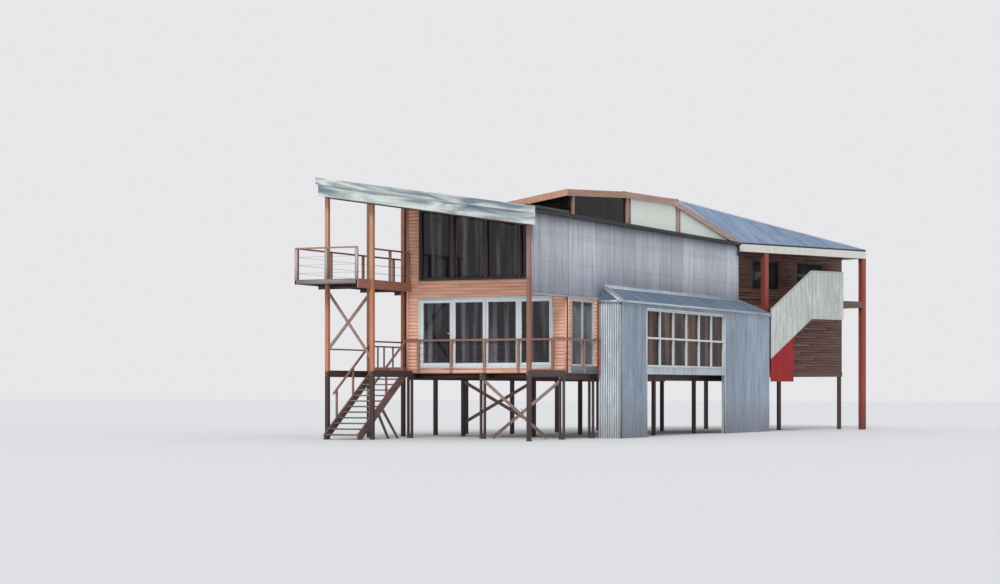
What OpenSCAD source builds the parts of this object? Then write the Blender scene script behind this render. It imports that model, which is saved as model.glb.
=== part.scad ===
// Timber house on stilts: two storeys, mono-pitch porch roof, folded clerestory roof,
// metal-clad side bay, upper deck with an outside stair, and a turned rear wing.
// Millimetres. +X along the front, +Y to the back, +Z up.
// The origin is the centre of the foot of the front left stilt, where the grid lines cross.

/* [Main block] */
// Distance between the grid lines of the left and right walls
house_w = 5250; // [4800:50:6000]
// Distance from the front grid line to the rear end of the block
house_d = 14825; // [14600:25:15400]
// Thickness of the walls
wall_t = 150; // [120:5:180]
// Width of the big square posts
post = 115; // [100:5:140]
// Height of the lower floor over the ground
floor_z = 2170; // [2000:10:2400]
// Thickness of the lower floor
floor_t = 180; // [150:5:220]
// Depth of the beams under the floor
beam_h = 200; // [150:5:240]
// Width of the beams under the floor, and the gap between paired stilts
beam_w = 75; // [60:5:90]
// Thickness of one stilt of a pair
pair_t = 50; // [40:5:75]
// Depth of a paired stilt from front to back
pair_d = 100; // [80:5:120]
// How far the middle and right stilts stand left of the middle and right grid lines
stilt_shift = 125; // [0:5:160]
// Height of the upper floor over the lower floor
storey_h = 2630; // [2550:10:2800]
// Thickness of the upper floor
upper_floor_t = 220; // [180:5:260]

/* [Porch and gallery] */
// Distance from the front grid line to the porch posts
porch_d = 2575; // [2300:25:2900]
// Distance of the gallery posts from the left grid line
gallery_w = 1440; // [1350:10:1700]
// Spacing of the gallery posts
gallery_bay = 2240; // [2000:20:2400]
// Number of gallery bays behind the front wall
gallery_bays = 3; // [2:1:4]
// Place of the middle porch post along the front
porch_post_x = 95; // [90:5:200]
// Depth of the beam on top of the porch posts
roof_beam_h = 180; // [150:10:260]

/* [Front openings] */
// Width of the siding left of the doors
corner_w = 420; // [350:10:500]
// Width of the siding right of the doors
right_panel_w = 460; // [400:10:520]
// Height of the door opening
door_h = 2110; // [2050:10:2150]
// Face width of the white door frame
door_frame = 40; // [30:5:90]
// Depth of the white door frame
door_frame_d = 120; // [90:5:140]
// Face width of a leaf's stiles and top rail
stile = 80; // [70:5:110]
// Thickness of a door leaf
leaf_t = 45; // [38:1:55]
// Clearance round a hinged leaf
leaf_gap = 7; // [7:0.5:10]
// Radius of a hinge barrel
hinge_r = 9; // [7:0.5:12]
// Height of the sill of the upper window over the upper floor
upper_sill = 20; // [10:5:60]
// Face width of the dark upright bars of the upper window
upper_bar = 90; // [60:5:120]

/* [Glass and window frames] */
// Thickness of the glass
glass_t = 12; // [8:1:20]
// Depth of a window frame
window_d = 60; // [45:5:80]
// Face width of a window frame bar
window_bar = 60; // [45:5:80]

/* [Side bay] */
// How far the bay stands out from the side wall
bay_w = 770; // [700:10:900]
// Distance from the front grid line to the near end of the bay
bay_y = 2285; // [2200:5:2400]
// Length of the near leg
bay_leg = 2040; // [1800:20:2200]
// Length of the window band
bay_band = 7000; // [6500:50:7100]
// How far the outer wall runs past the end of the main block
bay_skew = 1100; // [900:50:1200]
// Thickness of the bay's walls
bay_wall = 100; // [80:5:120]
// Height of the bay's eave
bay_eave = 4200; // [4150:5:4240]
// Rise of the bay's roof
bay_rise = 480; // [400:10:560]
// Length of the hip at the near end
bay_hip = 470; // [400:10:600]
// Underside of the sill beam over the lower floor's underside
bay_sill_h = 220; // [180:10:240]
// Depth of wall between the bay window's top and the eave
bay_head = 170; // [120:10:260]

/* [Upper side wall] */
// Underside of the grey metal wall
grey_z = 4260; // [4250:5:4300]
// Height of the grey metal wall
grey_h = 2420; // [2300:20:2500]
// Radius of the gutter
gutter_r = 60; // [50:5:75]

/* [Porch roof] */
// Height of the roof's top at its left edge
roof_z = 7805; // [7705:25:7955]
// Slope of the roof in degrees, falling to the right
roof_pitch = 8.7; // [8:0.02:9]
// Thickness of the porch roof
roof_t = 380; // [300:10:420]
// How far the roof stands out left of the gallery posts' centre line
roof_left = 60; // [30:5:150]
// How far the roof stands out in front of the porch posts' centre line
roof_front = 415; // [300:5:500]
// Height of the front fascia
fascia_h = 530; // [450:10:560]
// Thickness of the front fascia
fascia_t = 40; // [30:2:60]
// How far the fascia runs past the side wall
fascia_right = 310; // [250:10:450]

/* [Raised roof] */
// Thickness of the raised roof
raised_t = 110; // [80:5:110]
// Slope of the raised roof in degrees, falling to the left
raised_pitch = 9.3; // [8.5:0.1:10]
// How far the raised roof stands out in front of the front grid line
raised_front = 100; // [80:5:200]
// Height of the raised roof's edge at its front end
edge_front = 7440; // [7400:10:7550]
// Height of the edge at the first fold
edge_fold = 7710; // [7600:10:7750]
// Height of the edge at the second fold
edge_top = 7790; // [7760:10:7850]
// Height of the edge at the rear end
edge_rear = 6790; // [6790:5:6850]
// Distance from the front grid line to the first fold
fold_y = 4395; // [4200:25:4600]
// Distance from the front grid line to the second fold
top_y = 8515; // [8300:25:8700]
// Distance from the last pale panel's end to the rear end of the block
panel_end = 825; // [775:25:1000]
// Depth of the timber boards along the edge
board_h = 200; // [160:10:240]
// Thickness of the timber boards
board_t = 40; // [30:2:50]

/* [Rear wing] */
// Turn of the wing away from the main block, in degrees
wing_turn = 22.3; // [20:0.1:25]
// Length of the wing's eave
wing_l = 7130; // [6800:10:7400]
// Distance of the wing's roof top behind the eave
wing_ridge = 3140; // [2900:10:3300]
// Rise of the wing's roof
wing_rise = 1720; // [1500:20:1800]
// Height of the wing's eave
wing_eave = 6750; // [6700:10:6780]
// Depth of the verandah in front of the wing's wall
verandah = 1150; // [1000:10:1300]
// Width of the verandah post
verandah_post = 200; // [180:10:260]
// Place of the verandah post along the eave
verandah_post_y = 1430; // [1300:10:1600]
// Height of the pale fascia
wing_fascia_h = 320; // [250:10:360]

/* [Rear stair] */
// Height of the metal-clad side of the stair
clad_h = 1750; // [1500:10:1800]
// Where the clad side starts along the eave
clad_y0 = 1380; // [1350:10:1450]
// Where the clad side becomes level
clad_y1 = 3600; // [3500:50:4200]
// Where the clad side ends
clad_y2 = 5400; // [5000:50:5800]
// Lowest point of the clad side
clad_z0 = 2620; // [2500:10:2700]
// Underside of the level stretch
clad_z1 = 4080; // [4000:10:4150]

/* [Upper deck] */
// How far the deck stands out left of the gallery posts' centre line
deck_left = 655; // [600:5:750]
// How far the deck stands out in front of the porch posts' centre line
deck_front = 820; // [700:10:900]
// Height of the deck's top over the ground
deck_z = 4770; // [4700:10:4800]
// Thickness of the deck
deck_t = 140; // [100:10:180]
// Depth of the double beam at the deck's right edge
deck_beam_h = 270; // [220:10:300]
// Height of the railings
rail_h = 910; // [850:10:1050]
// Height of the lower railings
lower_rail_h = 800; // [750:10:950]
// Width of the railing posts
rail_post = 70; // [50:5:90]
// Depth of the railings' top rail
rail_t = 45; // [35:5:60]

/* [Stair] */
// Number of risers
risers = 13; // [12:1:14]
// Length of one step
going = 250; // [230:5:320]
// Clear width between the strings
stair_w = 1100; // [1000:10:1150]
// Thickness of a string
string_t = 50; // [40:2:60]
// Depth of a string
string_h = 300; // [220:10:340]
// Thickness of a tread
tread_t = 45; // [35:1:60]
// Place of the stair's centre line along the front
stair_x = -690; // [-700:5:-680]

/* [Hidden] */
half_wall = wall_t / 2;
half_post = post / 2;
front_y = -half_wall;
inner_y = half_wall;
left_x = -half_wall;
right_x = house_w + half_wall;
right_in_x = house_w - half_wall;
beam_top = floor_z - floor_t;
stilt_top = beam_top - beam_h;
upper_z = floor_z + storey_h;
upper_under = upper_z - upper_floor_t;
grey_top = grey_z + grey_h;
porch_y = -porch_d;
porch_posts_x = [-gallery_w, porch_post_x, house_w];
stilt_rows = [for (i = [1:4]) i * (house_d - 1.5 * wall_t) / 4];
stilt_cols = [0, house_w / 2 - stilt_shift, house_w - stilt_shift];
roof_x0 = -gallery_w - roof_left;
roof_y0 = porch_y - roof_front;
roof_slope = tan(roof_pitch);
raised_slope = tan(raised_pitch);
raised_y0 = -raised_front;
door_x0 = left_x + corner_w;
door_x1 = right_x - right_panel_w;
leaf_x0 = door_x0 + door_frame;
leaf_w = (door_x1 - door_x0 - 2 * door_frame) / 4;
leaf_z0 = floor_z + door_frame;
leaf_z1 = floor_z + door_h - door_frame;
leaf_y0 = -leaf_t;
bay_x1 = right_x + bay_w;
bay_in_x = bay_x1 - bay_wall;
bay_y1 = bay_y + bay_leg;
bay_y2 = bay_y1 + bay_band;
bay_y3 = house_d + bay_skew;
window_z1 = bay_eave - bay_head;
deck_x0 = -gallery_w - deck_left;
deck_x1 = porch_post_x - half_post;
deck_y0 = porch_y - deck_front;
gallery_y1 = gallery_bays * gallery_bay + half_post;
rise = floor_z / risers;
stair_run = (risers - 1) * going;
stair_x0 = stair_x - stair_w / 2;
stair_x1 = stair_x + stair_w / 2;
joint = 1;
side_window_y0 = inner_y + 180;
side_window_y1 = bay_y - 340;
side_window_z0 = floor_z + 30;
side_window_z1 = floor_z + 2030;
sill_up = 900;
left_rows = [for (share = [0.05, 0.34, 0.64]) share * house_d];
left_w = 2400;
left_door = [left_rows[0], left_rows[0] + 950, floor_z, floor_z + door_h];
left_windows = concat(
    [for (i = [1, 2]) [left_rows[i], left_rows[i] + left_w, floor_z + sill_up, floor_z + door_h]],
    [for (y = left_rows) [y, y + left_w, upper_z + sill_up, upper_z + 2000]]);
sill_h = 60;
clerestory_y = [425, 4625, 9025];
clerestory_end = house_d - panel_end;
wing_left = -(right_x - left_x) * cos(wing_turn);
wing_near = -(right_x - left_x) * sin(wing_turn);
wing_roof_t = 200;
wing_window_y = [for (share = [0.28, 0.63]) share * wing_l];
wing_window_w = 1500;
wing_window_h = 1100;
wing_window_z = upper_z + 350;
clad_x = 300;
notch = 2;
slack = 0.5;
hinge_clear = 0.3;
bay_slope = bay_skew / bay_w;
// Depth of the slanted bay wall along the side, and where its inner face meets the outer wall's.
bay_slant = bay_wall * sqrt(1 + bay_slope * bay_slope);
bay_slant_y = bay_y3 - bay_wall * bay_slope - bay_slant;
stair_props = [[-1825, -1225], [-1590, -620]];
prop_w = 70;
hand_h = 65;
wing_near_wall = right_x - verandah / cos(wing_turn);

// Height of the porch roof's top over a place along the front.
function roof_top(x) = roof_z - roof_slope * (x - roof_x0);
// Height of the raised roof's edge along the side: straight between the folds.
function edge_z(y) =
    y < fold_y ? edge_front + (edge_fold - edge_front) * (y - raised_y0) / (fold_y - raised_y0)
    : y < top_y ? edge_fold + (edge_top - edge_fold) * (y - fold_y) / (top_y - fold_y)
    : edge_top + (edge_rear - edge_top) * (y - top_y) / (house_d - top_y);
// Height of the raised roof's top over any place.
function raised_top(x, y) = edge_z(y) - raised_slope * (right_x - x);
// Where the raised roof's top comes down to the main roof's, with a depth taken off the raised roof.
function valley_x(y, depth = 0) =
    (roof_z + roof_slope * roof_x0 - edge_z(y) + depth + raised_slope * right_x) / (roof_slope + raised_slope);
// Underside of the raised roof over a place, less a slack.
function raised_under(x, y) = raised_top(x, y) - raised_t - slack;
// Underside of the stair's strings.
function string_under(y) = floor_z - string_h + (y - front_y) * rise / going;

// A block between two corners.
module block(a, b) {
    translate(a) cube(b - a);
}

// A plate drawn in x and z, with its front at y and a thickness to the back.
module plate_xz(y, t, points) {
    translate([0, y + t, 0]) rotate([90, 0, 0]) linear_extrude(t) polygon(points);
}

// A plate drawn in y and z, with its left side at x and a thickness to the right.
module plate_yz(x, t, points) {
    translate([x, 0, 0]) rotate([90, 0, 90]) linear_extrude(t) polygon(points);
}

// A bar that slopes in x and z, with plumb ends and a plumb depth.
module bar_xz(y, t, a, b, h) {
    plate_xz(y, t, [a, b, b + [0, h], a + [0, h]]);
}

// A bar that slopes in y and z, with plumb ends and a plumb depth.
module bar_yz(x, t, a, b, h) {
    plate_yz(x, t, [a, b, b + [0, h], a + [0, h]]);
}

// A square post on a grid point, with its foot and head heights.
module square_post(x, y, z0, z1, w = post) {
    block([x - w / 2, y - w / 2, z0], [x + w / 2, y + w / 2, z1]);
}

// A frame of bars in x and z: an outline with upright and level bars inside.
module bars_xz(x0, x1, z0, z1, y, d, bar, columns, rows) {
    translate([x0, y, z0]) difference() {
        cube([x1 - x0, d, z1 - z0]);
        pane_w = (x1 - x0 - bar * (columns + 1)) / columns;
        pane_h = (z1 - z0 - bar * (rows + 1)) / rows;
        for (i = [0:columns - 1], j = [0:rows - 1])
            translate([bar + i * (pane_w + bar), -d, bar + j * (pane_h + bar)])
                cube([pane_w, 3 * d, pane_h]);
    }
}

// The same frame in y and z, standing at x.
module bars_yz(y0, y1, z0, z1, x, d, bar, columns, rows) {
    translate([x + d, y0, 0]) rotate([0, 0, 90]) bars_xz(0, y1 - y0, z0, z1, 0, d, bar, columns, rows);
}

// A slab under a sloping plane: top heights at its four corners, the same depth everywhere.
module sloped_slab(x0, x1, y0, y1, z00, z10, z11, z01, t) {
    tops = [[x0, y0, z00], [x1, y0, z10], [x1, y1, z11], [x0, y1, z01]];
    unders = [for (p = tops) p - [0, 0, t]];
    polyhedron(concat(unders, tops),
        [[0, 1, 2, 3], [7, 6, 5, 4], [1, 0, 4, 5], [2, 1, 5, 6], [3, 2, 6, 7], [0, 3, 7, 4]]);
}

// All space under the main roof's top, lifted by one joint, to cut the raised roof's parts off at it.
module under_main_roof() {
    x1 = right_x + 2 * board_t;
    sloped_slab(roof_x0, x1, roof_y0, house_d + 1, roof_top(roof_x0) + joint, roof_top(x1) + joint,
        roof_top(x1) + joint, roof_top(roof_x0) + joint, storey_h);
}

// Places children in the wing's own frame: y along the eave, x outward.
module in_wing() {
    translate([right_x, house_d, 0]) rotate([0, 0, -wing_turn]) children();
}

module porch_front_posts() {
    color("peru") for (x = porch_posts_x) {
        top_l = roof_top(x - half_post) - roof_t - roof_beam_h - slack;
        top_r = roof_top(x + half_post) - roof_t - roof_beam_h - slack;
        plate_xz(porch_y - half_post, post,
            [[x - half_post, 0], [x + half_post, 0], [x + half_post, top_r], [x - half_post, top_l]]);
    }
}

module gallery_posts() {
    color("peru") for (i = [0:gallery_bays]) {
        y = i * gallery_bay;
        top = roof_top(half_post - gallery_w) - (i == 0 ? roof_t : raised_t) - slack;
        square_post(-gallery_w, y, 0, top);
    }
}

module porch_roof_beam() {
    color("sienna")
        bar_xz(porch_y - half_post, post, [roof_x0, roof_top(roof_x0) - roof_t - roof_beam_h],
            [right_x, roof_top(right_x) - roof_t - roof_beam_h], roof_beam_h);
}

module porch_cross_brace() {
    brace_t = 45;
    brace_h = 130;
    low = floor_z + 250;
    left_low = floor_z + 520;
    high = deck_z - deck_t - 300;
    x0 = -gallery_w + half_post;
    x1 = porch_post_x - half_post;
    color("dimgray") {
        bar_xz(porch_y - brace_t, brace_t, [x0, high], [x1, low], brace_h);
        bar_xz(porch_y, brace_t, [x0, left_low], [x1, high], brace_h);
    }
}

// A pair of stilts that holds the end of a floor beam, with a packing block at the foot.
module stilt_pair(x, y) {
    packing_h = 150;
    for (x0 = [x - beam_w / 2 - pair_t, x + beam_w / 2])
        block([x0, y - pair_d / 2, 0], [x0 + pair_t, y + pair_d / 2, beam_top]);
    block([x - beam_w / 2, y - pair_d / 2, 0], [x + beam_w / 2, y + pair_d / 2, packing_h]);
}

module front_stilts() {
    color("saddlebrown") {
        for (x = stilt_cols) stilt_pair(x, 0);
        stilt_pair(stilt_cols[2], bay_y - pair_d);
    }
}

module rear_stilts() {
    color("saddlebrown") {
        for (x = stilt_cols, y = stilt_rows) square_post(x, y, 0, stilt_top);
        for (y = stilt_rows) square_post(house_w, y, floor_z, grey_z);
        in_wing() for (x = [-verandah - half_post, wing_left + post], y = [wing_l / 2, wing_l - post])
            square_post(x, y, 0, beam_top);
    }
}

// Beams on the stilts, and tie beams from the porch posts back to the house.
module floor_beams() {
    tie_top = floor_z - 100;
    color("saddlebrown") {
        for (x = stilt_cols)
            block([x - beam_w / 2, front_y, stilt_top], [x + beam_w / 2, house_d, beam_top]);
        for (x = porch_posts_x)
            block([x - beam_w / 2, porch_y + half_post, tie_top - beam_h],
                [x + beam_w / 2, x == -gallery_w ? -half_post : front_y, tie_top]);
    }
}

module stilt_braces() {
    brace_t = 50;
    brace_h = 110;
    low = 400;
    high = stilt_top - brace_h;
    left_foot = 335;
    right_foot = 505;
    mid_x = stilt_cols[1] + beam_w / 2 + pair_t;
    end_x = stilt_cols[2] - beam_w / 2 - pair_t;
    x0 = half_post;
    x1 = stilt_cols[1] - half_post;
    y = stilt_rows[0];
    color("rosybrown") {
        bar_xz(-brace_t, brace_t, [mid_x, high], [stilt_cols[2] - right_foot, 0], brace_h);
        bar_xz(0, brace_t, [stilt_cols[1] + left_foot, 0], [end_x, high], brace_h);
        bar_xz(y - brace_t, brace_t, [x0, high], [x1, low], brace_h);
        bar_xz(y, brace_t, [x0, low], [x1, high], brace_h);
    }
}

module lower_floor() {
    color("peru") block([left_x, front_y, beam_top], [right_x, house_d, floor_z]);
}

module front_corner_panel() {
    color("coral") plate_xz(front_y, wall_t, [[left_x, floor_z], [door_x0, floor_z],
        [door_x0, roof_top(door_x0) - roof_t - slack], [left_x, roof_top(left_x) - roof_t - slack]]);
}

module front_band() {
    color("coral") block([door_x0, front_y, floor_z + door_h], [door_x1, inner_y, upper_z + upper_sill]);
}

module front_right_panel() {
    color("coral") plate_xz(front_y, wall_t, [[door_x1, floor_z], [right_x, floor_z], [right_x, grey_z],
        [right_in_x, grey_z], [right_in_x, roof_top(right_in_x) - roof_t - slack],
        [door_x1, roof_top(door_x1) - roof_t - slack]]);
}

// Hinge barrels stand just clear of a leaf's inner face, held by the side of the frame.
module hinges(x, side) {
    half_h = 50;
    end_gap = 200;
    plate_w = side * 20;
    for (z = [leaf_z0 + end_gap, (leaf_z0 + leaf_z1) / 2, leaf_z1 - end_gap]) {
        translate([x, hinge_r + hinge_clear, z - half_h]) cylinder(r = hinge_r, h = 2 * half_h, $fn = 32);
        block([min(x, x + plate_w), hinge_clear + hinge_r / 2, z - half_h],
            [max(x, x + plate_w), hinge_clear + hinge_r * 1.5, z + half_h]);
    }
}

module door_frame() {
    y0 = -door_frame_d / 2;
    color("white") {
        difference() {
            block([door_x0, y0, floor_z], [door_x1, -y0, floor_z + door_h]);
            block([leaf_x0, y0 - 1, leaf_z0], [door_x1 - door_frame, 1 - y0, leaf_z1]);
        }
        hinges(leaf_x0 + leaf_gap / 2, -1);
        hinges(door_x1 - door_frame - leaf_gap / 2, 1);
    }
}

// One glazed leaf: an outline of stiles and rails with a taller bottom rail.
module leaf(x0, x1, z0, z1) {
    difference() {
        block([x0, leaf_y0, z0], [x1, 0, z1]);
        block([x0 + stile, leaf_y0 - 1, z0 + stile], [x1 - stile, 1, z1 - stile]);
    }
}

// The glass of a leaf fills its opening.
module leaf_glass(x0, x1, z0, z1) {
    block([x0 + stile, leaf_y0 + leaf_t / 2 - glass_t / 2, z0 + stile],
        [x1 - stile, leaf_y0 + leaf_t / 2 + glass_t / 2, z1 - stile]);
}

module middle_door_leaves() {
    color("white") for (i = [1, 2])
        leaf(leaf_x0 + i * leaf_w + (i == 1 ? 0 : joint), leaf_x0 + (i + 1) * leaf_w, leaf_z0, leaf_z1);
}

module middle_door_glass() {
    color("slategray") for (i = [1, 2])
        leaf_glass(leaf_x0 + i * leaf_w + (i == 1 ? 0 : joint), leaf_x0 + (i + 1) * leaf_w,
            leaf_z0, leaf_z1);
}

// A lever handle on both faces of a hinged leaf, on the stile away from its hinges.
module lever(x, side) {
    z = leaf_z0 + 1000;
    reach = 45;
    length = 110;
    half_h = 8;
    t = 10;
    for (y = [0, leaf_y0 - reach]) {
        translate([x, y, z]) rotate([-90, 0, 0]) cylinder(r = t, h = reach, $fn = 24);
        block([min(x, x + side * length), y == 0 ? reach - t : y, z - half_h],
            [max(x, x + side * length), y == 0 ? reach : y + t, z + half_h]);
    }
}

module left_door_leaf() {
    x0 = leaf_x0 + leaf_gap;
    x1 = leaf_x0 + leaf_w - leaf_gap;
    color("white") {
        leaf(x0, x1, leaf_z0 + leaf_gap, leaf_z1 - leaf_gap);
        lever(x1 - stile / 2, -1);
    }
}

module left_door_glass() {
    color("slategray")
        leaf_glass(leaf_x0 + leaf_gap, leaf_x0 + leaf_w - leaf_gap, leaf_z0 + leaf_gap, leaf_z1 - leaf_gap);
}

module right_door_leaf() {
    x0 = leaf_x0 + 3 * leaf_w + leaf_gap;
    x1 = leaf_x0 + 4 * leaf_w - leaf_gap;
    color("white") {
        leaf(x0, x1, leaf_z0 + leaf_gap, leaf_z1 - leaf_gap);
        lever(x0 + stile / 2, 1);
    }
}

module right_door_glass() {
    color("slategray") leaf_glass(leaf_x0 + 3 * leaf_w + leaf_gap, leaf_x0 + 4 * leaf_w - leaf_gap,
        leaf_z0 + leaf_gap, leaf_z1 - leaf_gap);
}

module side_wall() {
    color("coral") difference() {
        block([right_in_x, inner_y, floor_z], [right_x, bay_y, grey_z]);
        block([right_in_x - 1, side_window_y0, side_window_z0],
            [right_x + 1, side_window_y1, side_window_z1]);
    }
}

module side_window() {
    color("lightsteelblue") {
        bars_yz(side_window_y0, side_window_y1, side_window_z0, side_window_z1,
            right_x - window_d, window_d, window_bar, 2, 1);
        block([right_x - window_d - glass_t, side_window_y0, side_window_z0],
            [right_x - window_d, side_window_y1, side_window_z1]);
    }
}

module left_wall_lower() {
    color("coral") difference() {
        block([left_x, inner_y, floor_z], [-left_x, house_d, upper_under]);
        for (w = concat([left_door], left_windows))
            block([left_x - 1, w[0], w[2]], [1 - left_x, w[1], w[3]]);
    }
}

// The upper left wall, and the panel that closes the block's rear end over the wing's roof.
module left_wall_upper() {
    end_low = wing_eave - wing_roof_t;
    color("coral") {
        difference() {
            block([left_x, inner_y, upper_under], [-left_x, house_d, roof_top(-left_x) - raised_t - slack]);
            for (w = left_windows) block([left_x - 1, w[0], w[2]], [1 - left_x, w[1], w[3]]);
        }
        plate_xz(house_d - wall_t, wall_t, [[-left_x, end_low], [right_in_x - joint, end_low],
            [right_in_x - joint, roof_top(right_in_x) - raised_t - slack],
            [-left_x, roof_top(-left_x) - raised_t - slack]]);
    }
}

// Frames and glass of the left wall: a glazed entry door and windows on both storeys.
module left_glazing() {
    x = left_x + 20;
    color("lightsteelblue") for (w = concat([left_door], left_windows)) {
        bars_yz(w[0], w[1], w[2], w[3], x, window_d, window_bar, w == left_door ? 1 : 2, 1);
        block([x + window_d, w[0], w[2]], [x + window_d + glass_t, w[1], w[3]]);
    }
}

module lower_railing() {
    y = front_y - rail_post;
    rail_z = floor_z + lower_rail_h;
    spacing = (door_x1 - door_x0) / 4;
    color("sienna") {
        for (i = [0:4]) translate([door_x0 + i * spacing - rail_post / 2, y, beam_top])
            cube([rail_post, rail_post, rail_z - beam_top]);
        for (i = [1, 2]) translate([right_x, i * bay_y / 2 - rail_post, beam_top])
            cube([rail_post, rail_post, rail_z - beam_top]);
        block([left_x, y, rail_z], [right_x + rail_post, front_y, rail_z + rail_t]);
        block([right_x, y, rail_z], [right_x + rail_post, bay_y, rail_z + rail_t]);
    }
}

module bay_near_leg() {
    color("lightgray") difference() {
        block([right_x, bay_y, 0], [bay_x1, bay_y1, bay_eave]);
        block([right_x - 1, bay_y + bay_wall, -1], [bay_in_x, bay_y1 + 1, bay_eave + 1]);
    }
}

module bay_far_leg() {
    color("lightgray") linear_extrude(bay_eave)
        polygon([[bay_in_x, bay_y2], [bay_x1, bay_y2], [bay_x1, bay_y3], [right_x, house_d],
            [right_x, house_d - bay_slant], [bay_in_x, bay_slant_y]]);
}

module bay_beams() {
    color("lightgray") {
        block([bay_in_x, bay_y1, beam_top], [bay_x1, bay_y2, beam_top + bay_sill_h]);
        block([bay_in_x, bay_y1, window_z1], [bay_x1, bay_y2, bay_eave]);
    }
}

module bay_window_frame() {
    color("white") bars_yz(bay_y1, bay_y2, beam_top + bay_sill_h, window_z1,
        bay_x1 - window_d - 10, window_d, window_bar, 6, 2);
}

module bay_window_glass() {
    color("slategray") block([bay_x1 - window_d - 10 - glass_t, bay_y1, beam_top + bay_sill_h],
        [bay_x1 - window_d - 10, bay_y2, window_z1]);
}

module bay_floor() {
    color("peru") translate([0, 0, beam_top]) linear_extrude(floor_t)
        polygon([[right_x, bay_y + bay_wall], [bay_in_x, bay_y + bay_wall], [bay_in_x, bay_slant_y - joint],
            [right_x, house_d - bay_slant - joint]]);
}

module bay_roof() {
    over = 60;
    top = bay_eave + bay_rise;
    x1 = bay_x1 + over;
    base = [[right_x, bay_y - over, bay_eave], [x1, bay_y - over, bay_eave],
        [x1, bay_y3 + over / 2, bay_eave], [right_x, house_d, bay_eave]];
    ridge = [[right_x, bay_y + bay_hip, top], [right_x, house_d, top]];
    color("slategray") polyhedron(concat(base, ridge),
        [[0, 1, 2, 3], [0, 4, 1], [1, 4, 5, 2], [2, 5, 3], [0, 3, 5, 4]]);
}

module upper_floor() {
    color("burlywood") block([-left_x, inner_y, upper_under], [right_in_x, house_d, upper_z]);
}

module grey_wall() {
    color("lightslategray") block([right_in_x, porch_y + half_post, grey_z], [right_x, house_d, grey_top]);
}

// Outline of the upper window: level at the sill, sloping under the roof.
module upper_window_outline(inset) {
    z0 = upper_z + upper_sill + inset;
    x0 = door_x0 + inset;
    x1 = door_x1 - inset;
    down = roof_t + inset + slack;
    polygon([[x0, z0], [x1, z0], [x1, roof_top(x1) - down], [x0, roof_top(x0) - down]]);
}

module upper_window_frame() {
    bay = (door_x1 - door_x0) / 4;
    color("dimgray") rotate([90, 0, 0]) linear_extrude(window_d) {
        difference() {
            upper_window_outline(0);
            upper_window_outline(window_bar);
        }
        intersection() {
            upper_window_outline(0);
            for (i = [1:3])
                translate([door_x0 + i * bay - upper_bar / 2, upper_z]) square([upper_bar, storey_h]);
        }
    }
}

module upper_window_glass() {
    color("slategray") translate([0, glass_t, 0]) rotate([90, 0, 0]) linear_extrude(glass_t)
        upper_window_outline(0);
}

module porch_roof() {
    color("gainsboro") {
        difference() {
            sloped_slab(roof_x0, right_x, roof_y0, inner_y, roof_top(roof_x0), roof_top(right_x),
                roof_top(right_x), roof_top(roof_x0), roof_t);
            block([right_in_x, porch_y + half_post, grey_z], [right_x + 1, inner_y + 1, grey_top]);
        }
    }
}

// The fascia is a folded sheet: a deep lower face and an upper lip that stands forward.
module front_fascia() {
    lip_h = 200;
    lip_out = 60;
    x1 = right_x + fascia_right;
    lift = 20;
    color("gainsboro") {
        bar_xz(roof_y0 - fascia_t, fascia_t, [roof_x0, roof_top(roof_x0) + lift - fascia_h],
            [x1, roof_top(x1) + lift - fascia_h], fascia_h);
        bar_xz(roof_y0 - fascia_t - lip_out, lip_out + 1,
            [roof_x0 - lip_out, roof_top(roof_x0 - lip_out) + lift - lip_h],
            [x1, roof_top(x1) + lift - lip_h], lip_h);
    }
}

// The main roof carries on the porch roof's slope to the rear, and is open under the raised roof.
module main_roof() {
    lap = 150;
    folds = [inner_y, fold_y, top_y, house_d];
    color("slategray") difference() {
        intersection() {
            sloped_slab(roof_x0, right_x, inner_y + joint, house_d, roof_top(roof_x0), roof_top(right_x),
                roof_top(right_x), roof_top(roof_x0), raised_t);
            linear_extrude(roof_z) polygon(concat([for (y = folds) [valley_x(y) + lap, y]],
                [[roof_x0, house_d], [roof_x0, inner_y]]));
        }
        block([right_in_x - joint, inner_y, 0], [right_x + 1, house_d + 1, grey_top]);
    }
}

// The raised roof falls to the left in three folds, down to the main roof.
module raised_roof() {
    x0 = valley_x(top_y) - wall_t;
    color("slategray") difference() {
        for (span = [[raised_y0, fold_y], [fold_y + joint, top_y], [top_y + joint, house_d]])
            sloped_slab(x0, right_x, span[0], span[1], raised_top(x0, span[0]), edge_z(span[0]),
                edge_z(span[1]), raised_top(x0, span[1]), raised_t);
        under_main_roof();
    }
}

// The sill on the grey wall and the posts on it, up to the underside of the raised roof.
module clerestory_frame() {
    color("peru") {
        block([right_in_x, inner_y, grey_top], [right_x, clerestory_end, grey_top + sill_h]);
        for (y = clerestory_y)
            plate_yz(right_in_x, wall_t, [[y - half_post, grey_top], [y + half_post, grey_top],
                [y + half_post, raised_under(right_in_x, y + half_post)],
                [y - half_post, raised_under(right_in_x, y - half_post)]]);
    }
}

// Boards along the raised roof's edge, and one up the slope of its front end.
module clerestory_boards() {
    lift = 20;
    drop = lift - board_h;
    x0 = valley_x(raised_y0) - wall_t;
    folds = [[raised_y0, edge_front], [fold_y, edge_fold], [top_y, edge_top], [house_d, edge_rear]];
    color("peru") difference() {
        union() {
            for (i = [0:2])
                bar_yz(right_x, board_t, folds[i] + [joint, drop], folds[i + 1] + [0, drop], board_h);
            bar_xz(raised_y0 - board_t, board_t, [x0, raised_top(x0, raised_y0) + drop],
                [right_x + board_t, raised_top(right_x + board_t, raised_y0) + drop], board_h);
        }
        block([right_x - 1, top_y, grey_z], [right_x + board_t + 1, house_d + 1, grey_top + joint]);
        translate([0, -board_t - 1, 0]) under_main_roof();
    }
}

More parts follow.
